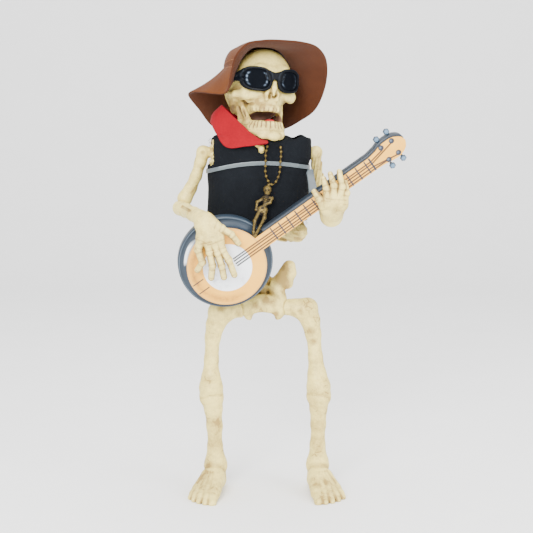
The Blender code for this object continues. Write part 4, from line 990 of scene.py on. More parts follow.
def felt_finish(name, light, dark):
    look = Finish(name, Roughness=0.95, Sheen_Weight=0.06, Sheen_Roughness=0.5, Specular_IOR_Level=0.12)
    brushed = look.noise(18, 4, 0.6)
    nap = look.noise(0.9, 4, 0.7)
    share = look.held(brushed * 0.7 + nap * 0.45, 0.35, 0.85)
    look.relief(nap * 0.7 + look.noise(0.35, 2) * 0.3, 0.35)
    return look.wear(Base_Color=look.mixed(share, dark, light))


def threads(look, pitch):
    """Over and under threads from the marks run and rise, as a height from 0 to 1."""
    ripple = lambda mark: look.node("ShaderNodeMath", {"operation": "SINE"}, {0: look.mark(mark) * (2 * math.pi / pitch)})
    return (ripple("run") * ripple("rise")) * 0.5 + 0.5


def cotton_finish(name, light, dark, pitch, deep, sheen):
    look = Finish(name, Roughness=0.92, Sheen_Weight=sheen, Specular_IOR_Level=0.1)
    weave = threads(look, pitch)
    slub = look.noise(2.5, 3, 0.6)
    wear = look.noise(25, 3, 0.6)
    share = look.held(weave * 0.35 + slub * 0.35 + wear * 0.5, 0.35, 0.85)
    look.relief(weave * 0.8 + slub * 0.2, deep)
    return look.wear(Base_Color=look.mixed(share, dark, light))


FELT_TOP = felt_finish("felt", (0.110, 0.034, 0.007), (0.072, 0.019, 0.0045))
# The felt's underside and cut edge: a darker copy of the felt, painted shade.
FELT_UNDER_IN_SHADE = felt_finish("felt underside in painted shade", (0.070, 0.021, 0.007), (0.044, 0.012, 0.004))
RED_COTTON = cotton_finish("red cotton", (0.27, 0.003, 0.010), (0.19, 0.002, 0.007), 1.1, 0.16, 0.03)
BLACK_WEAVE = cotton_finish("black weave", (0.0065, 0.008, 0.0105), (0.002, 0.0025, 0.0035), 1.5, 0.28, 0.0)
print("cloth finishes: felt, cotton and weave")

# %% [markdown]
# ## Curves through stations, and cloth from a grid
#
# A hat brim and a neckerchief are sheets, so each is a grid: one smooth curve for its inner edge,
# one for its outer edge, and rows between them. The grid is pushed off the bone below it, as the
# real cloth is, then gets a wall thickness and one step of subdivision that rounds its cut edges.

# %% Curves, grids and pushing cloth off bone


def rounded(stations, count, loop=True):
    """A smooth curve through stations, as evenly numbered points; a loop comes back to its start."""
    stations = np.asarray(stations, float)
    n = len(stations)
    out = []
    for i in range(count):
        s = i * n / count if loop else i * (n - 1) / (count - 1)
        k = min(int(s), n - 1 if loop else n - 2)
        f = s - k
        near = [(k + j - 1) % n if loop else min(max(k + j - 1, 0), n - 1) for j in range(4)]
        a, b, c, d = (stations[j] for j in near)
        out.append(0.5 * (2 * b + (c - a) * f + (2 * a - 5 * b + 4 * c - d) * f * f
                          + (3 * b - a - 3 * c + d) * f ** 3))
    return np.array(out)


def pushed(points, obstacle, gap, rounds=6, reach=0.3):
    """Move points away from an obstacle until they are a gap away from it."""
    flat = points.reshape(-1, 3).copy()
    for _ in range(rounds):
        value = obstacle(flat)
        slope = slopes(obstacle, flat, reach)
        slope = slope / np.maximum(length(slope), 1e-6)[:, None]
        flat = flat + slope * np.clip(gap - value, 0.0, 4.0)[:, None]
    return flat.reshape(points.shape)


def grid_faces(down, across, loop):
    columns = [(j, (j + 1) % across) for j in range(across if loop else across - 1)]
    return [[i * across + j, (i + 1) * across + j, (i + 1) * across + k, i * across + k]
            for i in range(down - 1) for j, k in columns]


def cloth(name, rows, thick, material, loop=True, tip=None, under=None, steps=1):
    """A sheet with a wall: rows of points, and a last point that closes its crown; its other side and cut edge can take
    a darker copy of the finish, as painted shade.
    """
    down, across = rows.shape[:2]
    points = rows.reshape(-1, 3)
    faces = grid_faces(down, across, loop)
    if tip is not None:
        points = np.vstack((points, tip))
        faces += [[len(points) - 1, j, (j + 1) % across] for j in range(across)]
    run = np.cumsum(np.linalg.norm(np.diff(rows, axis=1, prepend=rows[:, :1]), axis=2), axis=1)
    rise = np.cumsum(np.linalg.norm(np.diff(rows, axis=0, prepend=rows[:1]), axis=2), axis=0)
    marks = {"run": np.resize(run, len(points)), "rise": np.resize(rise, len(points))}
    thing = show(name, points, faces, material, marks)
    if under:
        thing.data.materials.append(under)
    wall = thing.modifiers.new("Wall", "SOLIDIFY")
    wall.thickness, wall.offset, wall.use_even_offset = thick * MM, 0.0, True
    wall.material_offset = 1 if under else 0
    wall.material_offset_rim = 1 if under else 0
    soft = thing.modifiers.new("Soft", "SUBSURF")
    soft.levels = soft.render_levels = steps
    return plain(thing)


def plain(thing):
    """Turn an object with modifiers into a plain mesh."""
    mesh = bpy.data.meshes.new_from_object(thing.evaluated_get(bpy.context.evaluated_depsgraph_get()))
    thing.modifiers.clear()
    thing.data = mesh
    return thing


def sheet_area(thing):
    """One side of a walled sheet, in square metres."""
    return sum(face.area for face in thing.data.polygons) / 2


print("a loop through four corners:", rounded(((0, 0, 0), (1, 0, 0), (1, 1, 0), (0, 1, 0)), 4).tolist())

# %% [markdown]
# ## One tree for everything that repeats
#
# Stitches, beads and loose threads all do one thing: a small shape stands again and again along
# a path. So one Geometry Nodes tree does it for all of them. Its inputs are the shape, the
# spacing, how far each copy may tilt and spin, how its size varies, and a seed that keeps the
# random part the same on every run. The copies are made real at the end, because an export drops
# instances.

# %% The tree that repeats a shape along a path


def repeat_tree():
    tree = bpy.data.node_groups.new("repeat along a path", "GeometryNodeTree")
    sockets = (("Path", "NodeSocketGeometry"), ("Shape", "NodeSocketObject"), ("Spacing", "NodeSocketFloat"),
               ("Tilt", "NodeSocketFloat"), ("Spin", "NodeSocketFloat"), ("Smallest", "NodeSocketFloat"),
               ("Largest", "NodeSocketFloat"), ("Seed", "NodeSocketInt"), ("Finish", "NodeSocketMaterial"))
    for name, kind in sockets:
        tree.interface.new_socket(name, in_out="INPUT", socket_type=kind)
    tree.interface.new_socket("Copies", in_out="OUTPUT", socket_type="NodeSocketGeometry")

    def node(kind, settings=None, inputs=None):
        made = tree.nodes.new(kind)
        for key, value in (settings or {}).items():
            setattr(made, key, value)
        for key, value in (inputs or {}).items():
            if isinstance(value, bpy.types.NodeSocket):
                tree.links.new(value, made.inputs[key])
            else:
                made.inputs[key].default_value = value
        return made.outputs

    given = node("NodeGroupInput")
    curve = node("GeometryNodeMeshToCurve", None, {"Mesh": given["Path"]})
    spots = node("GeometryNodeCurveToPoints", {"mode": "LENGTH"}, {"Curve": curve["Curve"], "Length": given["Spacing"]})
    less = node("ShaderNodeMath", {"operation": "MULTIPLY"}, {0: given["Tilt"], 1: -1.0})
    tilt = node("FunctionNodeRandomValue", {"data_type": "FLOAT"}, {2: less[0], 3: given["Tilt"], "Seed": given["Seed"]})
    next_seed = node("ShaderNodeMath", {"operation": "ADD"}, {0: given["Seed"], 1: 1.0})
    spin = node("FunctionNodeRandomValue", {"data_type": "FLOAT"}, {2: 0.0, 3: given["Spin"], "Seed": next_seed[0]})
    size = node("FunctionNodeRandomValue", {"data_type": "FLOAT"},
                {2: given["Smallest"], 3: given["Largest"], "Seed": given["Seed"]})
    turn = node("ShaderNodeCombineXYZ", None, {"Y": tilt[1], "Z": spin[1]})
    local = node("FunctionNodeEulerToRotation", None, {0: turn[0]})
    whole = node("FunctionNodeRotateRotation", {"rotation_space": "LOCAL"}, {0: spots["Rotation"], 1: local[0]})
    shape = node("GeometryNodeObjectInfo", None, {"Object": given["Shape"]})
    copies = node("GeometryNodeInstanceOnPoints", None,
                  {"Points": spots["Points"], "Instance": shape["Geometry"], "Rotation": whole[0], "Scale": size[1]})
    real = node("GeometryNodeRealizeInstances", None, {0: copies[0]})
    painted = node("GeometryNodeSetMaterial", None, {"Geometry": real[0], "Material": given["Finish"]})
    node("NodeGroupOutput", None, {0: painted[0]})
    return tree


REPEAT = repeat_tree()
SOCKETS = {item.name: item.identifier for item in REPEAT.interface.items_tree if item.in_out == "INPUT"}


def repeated(name, path, shape, spacing, material, loop=True, tilt=0.0, spin=0.0, sizes=(1.0, 1.0), seed=1):
    """Copies of a small shape along a path, both in millimetres, as one plain mesh."""
    line = show(name, path, [], material)
    count = len(path)
    line.data.clear_geometry()
    placed = (np.asarray(path) + FIGURE_SHIFT) * MM
    line.data.from_pydata(placed.tolist(), [(i, (i + 1) % count) for i in range(count if loop else count - 1)], [])
    step = line.modifiers.new("Repeat", "NODES")
    step.node_group = REPEAT
    for key, value in {"Shape": shape, "Spacing": spacing * MM, "Tilt": tilt, "Spin": spin, "Smallest": sizes[0],
                       "Largest": sizes[1], "Seed": seed, "Finish": material}.items():
        step[SOCKETS[key]] = value
    bpy.context.view_layer.update()
    thing = plain(line)
    thing.data.shade_smooth()
    bpy.data.objects.remove(shape)
    print(name, "has", len(thing.data.polygons), "faces")
    return thing


def small_shape(points, faces):
    """A shape to repeat, drawn about the origin in millimetres, with the path along its z."""
    mesh = bpy.data.meshes.new("shape")
    mesh.from_pydata((np.asarray(points, float) * MM).tolist(), [], faces)
    thing = bpy.data.objects.new("shape", mesh)
    bpy.context.collection.objects.link(thing)
    return thing


def turned_shape(profile, sides):
    """A lathe shape about z, from radius and height pairs; a radius of 0 is a tip."""
    points, rings, faces = [], [], []
    for r, z in profile:
        rings.append(list(range(len(points), len(points) + (1 if r == 0 else sides))))
        points += [(0, 0, z)] if r == 0 else [(r * math.cos(2 * math.pi * j / sides), r * math.sin(2 * math.pi * j / sides), z)
                                              for j in range(sides)]
    for a, b in zip(rings, rings[1:]):
        for j in range(sides):
            k = (j + 1) % sides
            quad = [a[j % len(a)], a[k % len(a)], b[k % len(b)], b[j % len(b)]]
            faces.append(list(dict.fromkeys(quad)))
    return points, faces


print("inputs of the tree:", sorted(SOCKETS))

# %% [markdown]
# ## The hat
#
# The real hat is a soft felt one with a wide brim, sewn where crown and brim meet. The brim turns
# up over the brow, hangs behind the head, and folds back on the figure's right. Twenty stations
# hold the brim's edge and the seam, and the crown is a dome that leans back. Felt sags between
# its stations, so a slow ripple goes over the brim.

# %% Hat
HAT_STATIONS = (
    ((11, -45, 401), (4, -17, 397.5)), ((31, -38, 400), (13, -10.5, 393.5)), ((44, -28, 396), (18.5, -6, 386)),
    ((52, -15, 384), (22.5, 2, 379)), ((52, 0, 364), (24.5, 10, 370)), ((44, 15, 344), (23.5, 20, 360)),
    ((30, 25, 333), (20, 30, 349)), ((16, 40, 325), (12, 38, 339)), ((-4, 54.5, 322), (-4, 43, 335)),
    ((-29, 56.1, 324), (-20, 43, 338)), ((-48, 42, 327), (-30, 37, 347)), ((-60, 27, 342), (-35, 30, 357)),
    ((-69, 9, 356), (-36, 17, 376)), ((-56, -8, 358), (-35.5, 1, 382)), ((-45, -18, 357), (-32.5, -10, 384)),
    ((-34, -27, 358), (-30, -16, 384)), ((-30, -34, 374), (-26.5, -20, 388)), ((-26, -40, 389), (-20, -22, 393)),
    ((-16, -45, 399), (-12, -18, 398)), ((-3, -46, 401), (-4, -18.5, 398.5)))
CROWN_POLE = unit((-0.25, 0.75, 0.6))
CROWN_AT, CROWN_EGG, BRIM_SAG = (-5, 8, 5.5), (26, 37, 33.5), 2.5
HAT_AROUND, CROWN_ROWS, BRIM_ROWS = 150, 16, 14


def crown_reach(way):
    """How far the crown's egg is from its middle, in a direction."""
    return 1 / np.linalg.norm(way @ HEAD_AXES / np.array(CROWN_EGG), axis=-1, keepdims=True)


def hat_rows():
    edge = rounded([station[0] for station in HAT_STATIONS], HAT_AROUND)
    join = rounded([station[1] for station in HAT_STATIONS], HAT_AROUND)
    near = settled(lambda p: skull_form(in_head(p)) - FELT / 2 - 0.6, join, 5, 3.0)
    share = between(join[:, 1], -60, 8, 10) * (0.3 + 0.55 * np.clip((-18 - join[:, 0]) / 12, 0, 1))
    join = join + (near - join) * share[:, None]
    middle = from_head(CROWN_AT)
    join_far = np.linalg.norm(join - middle, axis=1, keepdims=True)
    join_way = (join - middle) / join_far
    angle = np.arccos(join_way @ CROWN_POLE)[:, None]
    turn = np.linspace(0, 2 * math.pi, HAT_AROUND, endpoint=False)
    rows = []
    for i in range(1, CROWN_ROWS + 1):
        s = i / CROWN_ROWS
        way = (np.sin((1 - s) * angle) * CROWN_POLE + np.sin(s * angle) * join_way) / np.sin(angle)
        dent = 0.7 * np.sin(3 * turn + 1.0)[:, None] * math.sin(math.pi * s)
        rows.append(middle + way * (crown_reach(way) * (1 - s ** 4) + join_far * s ** 4 + dent))
    for i in range(1, BRIM_ROWS + 1):
        v = i / BRIM_ROWS
        sag = BRIM_SAG * math.sin(math.pi * v) - 0.7 * v * np.sin(5 * turn + 2 * v)
        rows.append(join + (edge - join) * v - CROWN_POLE * np.asarray(sag)[:, None])
    return np.array(rows), middle + CROWN_POLE * crown_reach(CROWN_POLE)


rows, tip = hat_rows()
rows = pushed(rows, lambda p: skull(in_head(p)), FELT / 2 + 0.35)
seam = rows[CROWN_ROWS - 1].copy()
seam_out = seam - seam.mean(axis=0)
seam_out /= np.linalg.norm(seam_out, axis=1, keepdims=True)
rows[CROWN_ROWS - 1] -= 0.4 * seam_out
hat = cloth("felt_hat", rows, FELT, FELT_TOP, tip=tip, under=FELT_UNDER_IN_SHADE)
settle_in(hat, "felt", "hat")

STITCH_LOOK = Finish("tan thread", Roughness=0.8)
STITCH_LOOK.wear(Base_Color=STITCH_LOOK.mixed(STITCH_LOOK.noise(0.5), (0.20, 0.068, 0.018), (0.29, 0.11, 0.035)))
stitch = turned_shape(((0, -1.1), (0.22, -0.8), (0.28, 0), (0.22, 0.8), (0, 1.1)), 6)
for number, (row, lift) in enumerate(((CROWN_ROWS, 0.75), (CROWN_ROWS - 3, 0.9)), 1):
    path = rows[row] + seam_out * lift + CROWN_POLE * 0.4
    line = repeated(f"hat_stitches_{number}", path, small_shape(*stitch), 3.1, STITCH_LOOK.material)
    settle_in(line, "felt")

# %% [markdown]
# ## The neckerchief
#
# A square of thin cotton, folded flat and laid round the neck. It stands up beside the jaw on the
# figure's right, narrows to a point under the chin, and ends behind the neck. Its folded edge is
# doubled.

# %% Neckerchief
SCARF_TOP = ((1, -30, 317), (-10, -29, 321.5), (-22, -21, 332), (-38, -6, 346.5), (-35, 14, 344), (-20, 28, 334),
             (-4, 31, 329), (11, 25, 326))
SCARF_LOW = ((0.5, -32, 314.8), (-17, -32.5, 312.6), (-35.3, -26, 312), (-47.8, -8, 331), (-46, 14, 328), (-26, 30, 320),
             (-4, 33, 319), (14, 28, 319))


def vest_wall(p):
    x, y, z = (p - np.array((TORSO_AT[0], TORSO_AT[1], VEST_TOP))).T
    past = np.stack((np.abs(x) - VEST_HALF[0] + VEST_ROUND, np.abs(y) - VEST_HALF[1] + VEST_ROUND), axis=1)
    wall = length(np.maximum(past, 0.0)) + np.minimum(past.max(axis=1), 0.0) - VEST_ROUND
    return carve(wall, -z, 9.0)


VEST_HALF, VEST_ROUND = (43.2, 26.6), 18.0
VEST_TOP, VEST_HEM = 320.0, 245.0


def around_the_neck(p):
    q = in_head(p)
    return np.minimum.reduce([skull(q), jaw(q), neck(p), vest_wall(p) - CLOTH / 2])


def scarf_rows(across, down):
    top, low = rounded(SCARF_TOP, across, False), rounded(SCARF_LOW, across, False)
    centre = np.array((-8.0, 2.0, 0.0))
    along = np.linspace(0, 1, across)
    rows = []
    for i in range(down + 1):
        v = i / down
        row = top + (low - top) * v
        away = (row - centre) * np.array((1.0, 1.0, 0.0))
        away = away / np.linalg.norm(away, axis=1, keepdims=True)
        crease = 0.45 * np.sin(9 * along + 5 * v) * np.sin(math.pi * v) + 0.25 * np.sin(23 * along - 8 * v)
        rows.append(row + away * (2.5 * math.sin(math.pi * v) + crease[:, None]))
    return np.array(rows)


rows = pushed(scarf_rows(130, 26), around_the_neck, 1.3)
scarf = cloth("cotton_neckerchief", rows, 0.9, RED_COTTON, loop=False)
settle_in(scarf, "red_cloth", "neckerchief")

# %% [markdown]
# ## The vest
#
# Coarse black cloth, sewn flat and pulled over the ribs. It is thin compared with its size but it
# has a real wall, so it is drawn as one: the distance to a rounded box, kept where it is less than
# half a wall. Folds are added to that distance before the wall is taken. The arm holes, the neck
# and a notch below the chin are cut out of it, and the cut edges aren't hemmed on the real one,
# so loose threads stand along them.

# %% Vest


def folds(p):
    """Slow pulls in the cloth: down from the shoulders, and across the waist."""
    x, y, z = p.T
    pull = 0.55 * np.sin(x / 7.5 + 0.8 * np.sin(z / 19)) * np.clip((z - 262) / 40, 0, 1)
    waist = 0.6 * np.sin(z / 6.5 + x / 21 + y / 15) * np.clip((292 - z) / 30, 0, 1)
    return pull + waist + 0.2 * np.sin(x / 2.9 + z / 4.1) * np.sin(y / 3.7 + z / 9)


def vest(p):
    shoulder = 2.2 * between(p[:, 0], 24, 60, 12) * between(p[:, 2], 299, 330, 8)
    body = np.abs(vest_wall(p) + folds(p) - shoulder) - CLOTH / 2
    holes = np.minimum(egg(p, (-7, 2, 327), (25, 19, 17)), egg(p, (-4.5, -27, 311), (3.4, 7, 3.6)))
    holes = np.minimum(holes, slab(p, (-80, -19, 299), (-49.3, 14, 336)) - 4.0)
    holes = np.minimum(holes, egg(p, (38.5, 1, 303), (9, 11, 14)))
    ragged = 0.5 * np.sin(p[:, 2] * 1.7 + p[:, 1]) * np.sin(p[:, 1] * 2.3 - p[:, 0])
    body = np.maximum(body, ragged - holes)
    drop = 5.0 * between(p[:, 0], -30, 8, 8) - 4.0 * between(p[:, 0], 22, 60, 6)
    hem = VEST_HEM - drop + 2.0 * np.cos(p[:, 0] / 9.0) + 0.4 * np.sin(p[:, 0] * 1.9) * np.sin(p[:, 1] * 1.7) - p[:, 2]
    body = np.maximum(body, hem)
    scallop = 319.4 + 1.3 * np.cos(2 * math.pi * (p[:, 0] - 16) / 14.5)
    body = np.maximum(body, np.where(p[:, 0] > 4, p[:, 2] - scallop, -9.0))
    return clear_of(body, [jaw(in_head(p))], 0.5)


def round_the_body(p):
    """The run round a rounded box from its front middle, on both sides alike."""
    x, y = np.abs(p[:, 0] - TORSO_AT[0]), p[:, 1] - TORSO_AT[1]
    return np.where(np.abs(y) > VEST_HALF[1] - 6, x * np.sign(-y), VEST_HALF[0] * 0 + x - y)


points, faces = largest(*skin(vest, (-56, -34, 238), (42, 34, 326), 0.8))
points = settled(vest, points, 2, 0.3)
vest_piece = show("black_vest", points, faces, BLACK_WEAVE, {"run": round_the_body(points), "rise": points[:, 2]})
settle_in(vest_piece, "black_cloth", "vest")
print("vest cloth, square centimetres:", round(sheet_area(vest_piece) * 1e4, 1))


def on_the_wall(points):
    return settled(lambda p: vest_wall(p) + folds(p), np.array(points, float), 6, 3.0)


turns = np.linspace(0, 2 * math.pi, 60, endpoint=False)
right_hole = [(-47, -2.5 + 18.7 * math.cos(a), 305 + 11.2 * math.sin(a)) for a in turns]
left_hole = [(35.6, 1 + 10.6 * math.cos(a), 303 + 13.4 * math.sin(a)) for a in turns]
hem_line = [(TORSO_AT[0] + 43 * math.cos(a), TORSO_AT[1] + 26 * math.sin(a), VEST_HEM + 0.5) for a in turns]
thread = turned_shape(((0.17, 0), (0.13, 1.2), (0, 2.4)), 3)
thread = ([(z, 0.12 * z * z, x) for x, y, z in thread[0]], thread[1])
for number, (path, seed) in enumerate(((right_hole, 3), (left_hole, 5), (hem_line, 8)), 1):
    path = on_the_wall(path)
    path[:, 2] = np.where(np.array(path)[:, 2] < 250, VEST_HEM + 2.0 * np.cos(path[:, 0] / 9.0) + 0.4, path[:, 2])
    fray = repeated(f"frayed_edge_{number}", path, small_shape(*thread), 0.55, BLACK_WEAVE, tilt=0.9,
                    spin=2 * math.pi, sizes=(0.4, 1.1), seed=seed)
    settle_in(fray, "black_cloth")

# %% [markdown]
# ## The strap round the chest
#
# A clear plastic strap holds the vest to the body. It is a long flat strip bent into a ring, so it
# is drawn as one: the outline of the chest, a little larger, with two rows of points and a wall.
# Fine lighter lines run along it.

# %% Chest strap
BAND_TALL, BAND_THICK, BAND_CREST, BAND_OUT = 3.6, 0.8, 297.9, 1.9


def strap_spot(turn):
    corner = np.array(VEST_HALF) - VEST_ROUND
    way = np.array((math.cos(turn), math.sin(turn)))
    spot = np.sign(way) * np.minimum(np.abs(way) * 60.0, corner) + way * (VEST_ROUND + BAND_OUT)
    x, y = TORSO_AT[0] + spot[0], TORSO_AT[1] + spot[1]
    return np.array((x, y, BAND_CREST - 0.003 * (x + 1.0) ** 2))


ring = np.array([strap_spot(turn) for turn in np.linspace(0, 2 * math.pi, 160, endpoint=False)])
rows = np.array([ring + (0, 0, BAND_TALL * (0.5 - i / 5)) for i in range(6)])
STRAP_LOOK = Finish("clear strap", Roughness=0.25, Specular_IOR_Level=0.4, Coat_Weight=0.2)
lines = STRAP_LOOK.node("ShaderNodeMath", {"operation": "SINE"}, {0: STRAP_LOOK.mark("rise") * 6.5}) * 0.5 + 0.5
cloud = STRAP_LOOK.noise(6, 3, 0.6)
STRAP_LOOK.wear(Base_Color=STRAP_LOOK.mixed(lines * 0.6 + cloud * 0.5, (0.035, 0.045, 0.050), (0.115, 0.14, 0.15)))
strap = cloth("chest_strap", rows, BAND_THICK, STRAP_LOOK.material)
settle_in(strap, "clear_strap", "chest_band")

TAIL = ((33.5, 40.5, -14, 292), (35, 41.5, -18, 286), (35.8, 43, -24, 279), (36.2, 44.5, -31, 272), (36.5, 46, -37, 267))
tail = np.array([[(x, y, z) for x in np.linspace(a, b, 6)] for a, b, y, z in rounded(TAIL, 24, False)])
strap_end = cloth("strap_end", tail, BAND_THICK, STRAP_LOOK.material, loop=False)
settle_in(strap_end, "clear_strap")

# %% [markdown]
# ## Ball chain and pendant
#
# The necklace is a common ball chain: hollow balls crimped round short rods, in old brass. Such a
# chain is made by machine, one ball after another at one pitch, so the tree repeats one ball with
# its rod along the chain's path. The pendant is a small cast skeleton, whose hollows have gone
# dark while its ridges are rubbed bright.

# %% Ball chain
CHAIN_LOOP = (
    (4.4, -31.6, 280), (1.4, -31.6, 283), (-0.9, -31.4, 290), (-0.8, -31.6, 300), (-0.6, -31.3, 307),
    (0.6, -28.6, 312), (1.2, -20, 313.6), (-7, -11, 313.6), (-16, 0, 313.6), (-15, 12, 313.6), (-6, 18, 313.6),
    (4, 15, 313.6), (9, 5, 313.6), (10, -8, 313.6), (11, -20, 313.6), (12, -28, 311.6), (12.4, -31, 306.5),
    (11.8, -31.6, 299), (11, -31.6, 290), (8.4, -31.6, 283))
BEAD_PITCH, BEAD_RADIUS, LINK_RADIUS = 4.4, 1.3, 0.42


def brass_finish(name, bright, dark):
    look = Finish(name, Specular_IOR_Level=0.5)
    worn = look.noise(2.2, 4, 0.65)
    share = look.held(worn + (0.35 - look.mark("stain")) * 0.9, 0.42, 0.9)
    look.relief(look.noise(0.5, 2), 0.06)
    return look.wear(Base_Color=look.mixed(share, dark, bright), Metallic=share * 0.5 + 0.35,
                     Roughness=0.62 - share * 0.25)


OLD_BRASS = brass_finish("old brass", (0.135, 0.092, 0.022), (0.012, 0.007, 0.0022))
half = BEAD_PITCH / 2
bead = [(0, -half), (LINK_RADIUS, -half), (LINK_RADIUS, -BEAD_RADIUS)]
bead += [(BEAD_RADIUS * math.cos(a), BEAD_RADIUS * math.sin(a)) for a in np.radians((-60, -35, -12, 12, 35, 60))]
bead += [(LINK_RADIUS, BEAD_RADIUS), (LINK_RADIUS, half), (0, half)]
loop = rounded(CHAIN_LOOP, 400)
chain = repeated("ball_chain_beads", loop, small_shape(*turned_shape(bead, 10)), BEAD_PITCH, OLD_BRASS)
settle_in(chain, "old_brass", "ball_chain")

# %% Pendant
PENDANT_TOP = (3.6, -32.4, 277.6)


def jointed(q, stations, knuckle):
    """A thin limb with a small swelling at each station."""
    body = limb(q, stations, 0.6)
    for x, y, z, r in stations:
        body = blend(body, egg(q, (x, y, z), (r * knuckle,) * 3), 0.5)
    return body


def pendant(p):
    q = p - np.array(PENDANT_TOP)
    head = egg(q, (-2.8, 0.2, -1.8), (3.3, 2.7, 3.4))
    head = blend(head, egg(q, (-2.9, -0.6, -5), (2.1, 1.8, 2.1)), 0.8)
    for x in (-4.2, -1.6):
        head = carve(head, egg(q, (x, -2.4, -2.2), (0.95, 1.2, 1.0)), 0.3)
    head = carve(head, egg(q, (-2.9, -2.6, -3.9), (0.45, 1, 0.7)), 0.3)
    head = carve(head, egg(q, (-2.9, -2.6, -5.7), (1.5, 0.9, 0.3)), 0.3)
    loop_at_top = rod(q, (-2, 0.2, 2, 0.9), (-0.4, 0.3, 2.6, 0.8))
    chest = egg(q, (-4, -0.8, -10.4), (3.2, 2.4, 3.6))
    chest = chest + 0.4 * np.cos(2 * math.pi * (q[:, 2] + 0.25 * np.abs(q[:, 0] + 4)) / 1.6)
    spine = limb(q, ((-3.2, 0.2, -6, 1.2), (-4.4, -1.4, -12, 1.2), (-4.8, -2.2, -14.5, 1.4), (-6.8, -3.6, -18.5, 1.8)), 1.0)
    hips = carve(egg(q, (-7.2, -3.9, -19.4), (4.3, 2.3, 4)), egg(q, (-6.9, -6, -17.2), (1.5, 1.4, 1.1)), 0.5)
    arms = np.minimum(jointed(q, ((-3.4, -0.4, -8.4, 1.2), (1, -1.2, -9.2, 0.9), (-0.4, -2, -13, 0.8), (-3.6, -2.8, -14, 0.8)), 1.35),
                      jointed(q, ((-4.6, -0.4, -8.6, 1.2), (-11.4, -1.4, -12.6, 0.95), (-12.4, -3.8, -19, 0.8)), 1.4))
    legs = np.minimum(
        jointed(q, ((-9, -3.8, -19, 1.5), (-13.6, -9.4, -28, 1.15), (-14.6, -15, -36.6, 0.9), (-14.4, -17.6, -40.6, 1.2)), 1.4),
        jointed(q, ((-4.8, -3.8, -19, 1.5), (-5.4, -7.8, -25.4, 1.2), (-8.8, -12.2, -32, 0.9), (-13, -17.4, -39.6, 1.2)), 1.4))
    body = melt([head, loop_at_top, spine, chest, hips, arms, legs], 0.6)
    body = body - 0.35 + 0.12 * np.sin(q[:, 2] * 3.1 + q[:, 0]) * np.sin(q[:, 0] * 2.7)
    return clear_of(body, [banjo_room(p)], 0.4)


moulded("skeleton_pendant", pendant, (-15, -56, 232), (8, -26, 284), 0.3, OLD_BRASS, "old_brass", ["pendant"])

# %% [markdown]
# ## The banjo
#
# The toy banjo is three thin mouldings: a turned pot, a flat board that is its face and the front
# of its neck, and a deep channel behind the neck. The pot is a profile turned about the face's
# own axis, and the boards are outlines given a thickness. All are drawn in the banjo's axes: t
# along the neck, s across it, and n out of the face.

# %% Pot, boards and knobs
POT_PROFILE = ((0, -2.2), (33.2, -2.2), (33.4, -2.6), (33.4, -9), (33.9, -10.2), (35.2, -11.2), (36.3, -11.7),
               (37.6, -11.9), (38.6, -11.9), (39.3, -11.7), (39.9, -11.7), (40.5, -12), (40.9, -12.8), (41, -13.6),
               (41, -19.6), (40.4, -21.4), (39, -22.7), (37.6, -23), (0, -23))
FACE_THICK, NECK_START, NUT_AT, POT_SIDES = 1.5, 41.8, 150.0, 144
HEAD_OUTLINE = ((158, 7.6), (163, 9.3), (169, 9.9), (175, 9.6), (179.5, 7.6), (182.5, 5.2), (184, 2), (184, 0), (181.5, -4.2),
                (177, -7), (172, -8), (166, -7.6), (158, -6.4))
PEGS = ((175, 15.2), (164.5, 14.6), (174.6, -12.6), (163.6, -12.6))


def in_banjo_marks(q):
    return {"along": q[:, 0], "across": q[:, 1], "out": np.hypot(q[:, 0], q[:, 1]), "deep": q[:, 2]}


def turned_pot(name, profile, sides, material):
    points, rings = [], []
    for r, z in profile:
        spots = 1 if r == 0 else sides
        rings.append(range(len(points), len(points) + spots))
        points += [(r * math.cos(2 * math.pi * j / sides), r * math.sin(2 * math.pi * j / sides), z) for j in range(spots)]
    faces = []
    for a, b in zip(rings, rings[1:]):
        for j in range(sides):
            k = (j + 1) % sides
            faces.append(list(dict.fromkeys((a[j % len(a)], b[j % len(b)], b[k % len(b)], a[k % len(a)]))))
    points = np.array(points)
    thing = show(name, from_banjo(points), faces, material, in_banjo_marks(points))
    thing.data.set_sharp_from_angle(angle=math.radians(50))
    return thing


def board(name, outline, low, high, material, edge):
    """An outline with a thickness and a rounded edge."""
    count = len(outline)
    points = np.array([(x, y, z) for z in (low, high) for x, y in outline])
    faces = [list(range(count))[::-1], list(range(count, 2 * count))]
    faces += [[i, (i + 1) % count, count + (i + 1) % count, count + i] for i in range(count)]
    thing = show(name, from_banjo(points), faces, material, smooth=False)
    bevel = thing.modifiers.new("Edge", "BEVEL")
    bevel.width, bevel.limit_method, bevel.segments = edge * MM, "ANGLE", 3
    plain(thing)
    spots = np.array([vertex.co for vertex in thing.data.vertices]) / MM - FIGURE_SHIFT
    for mark, values in in_banjo_marks(in_banjo(spots)).items():
        layer = thing.data.attributes.new(mark, "FLOAT", "POINT")
        layer.data.foreach_set("value", values.astype(np.float32))
    thing.data.shade_smooth()
    thing.data.set_sharp_from_angle(angle=math.radians(40))
    return thing


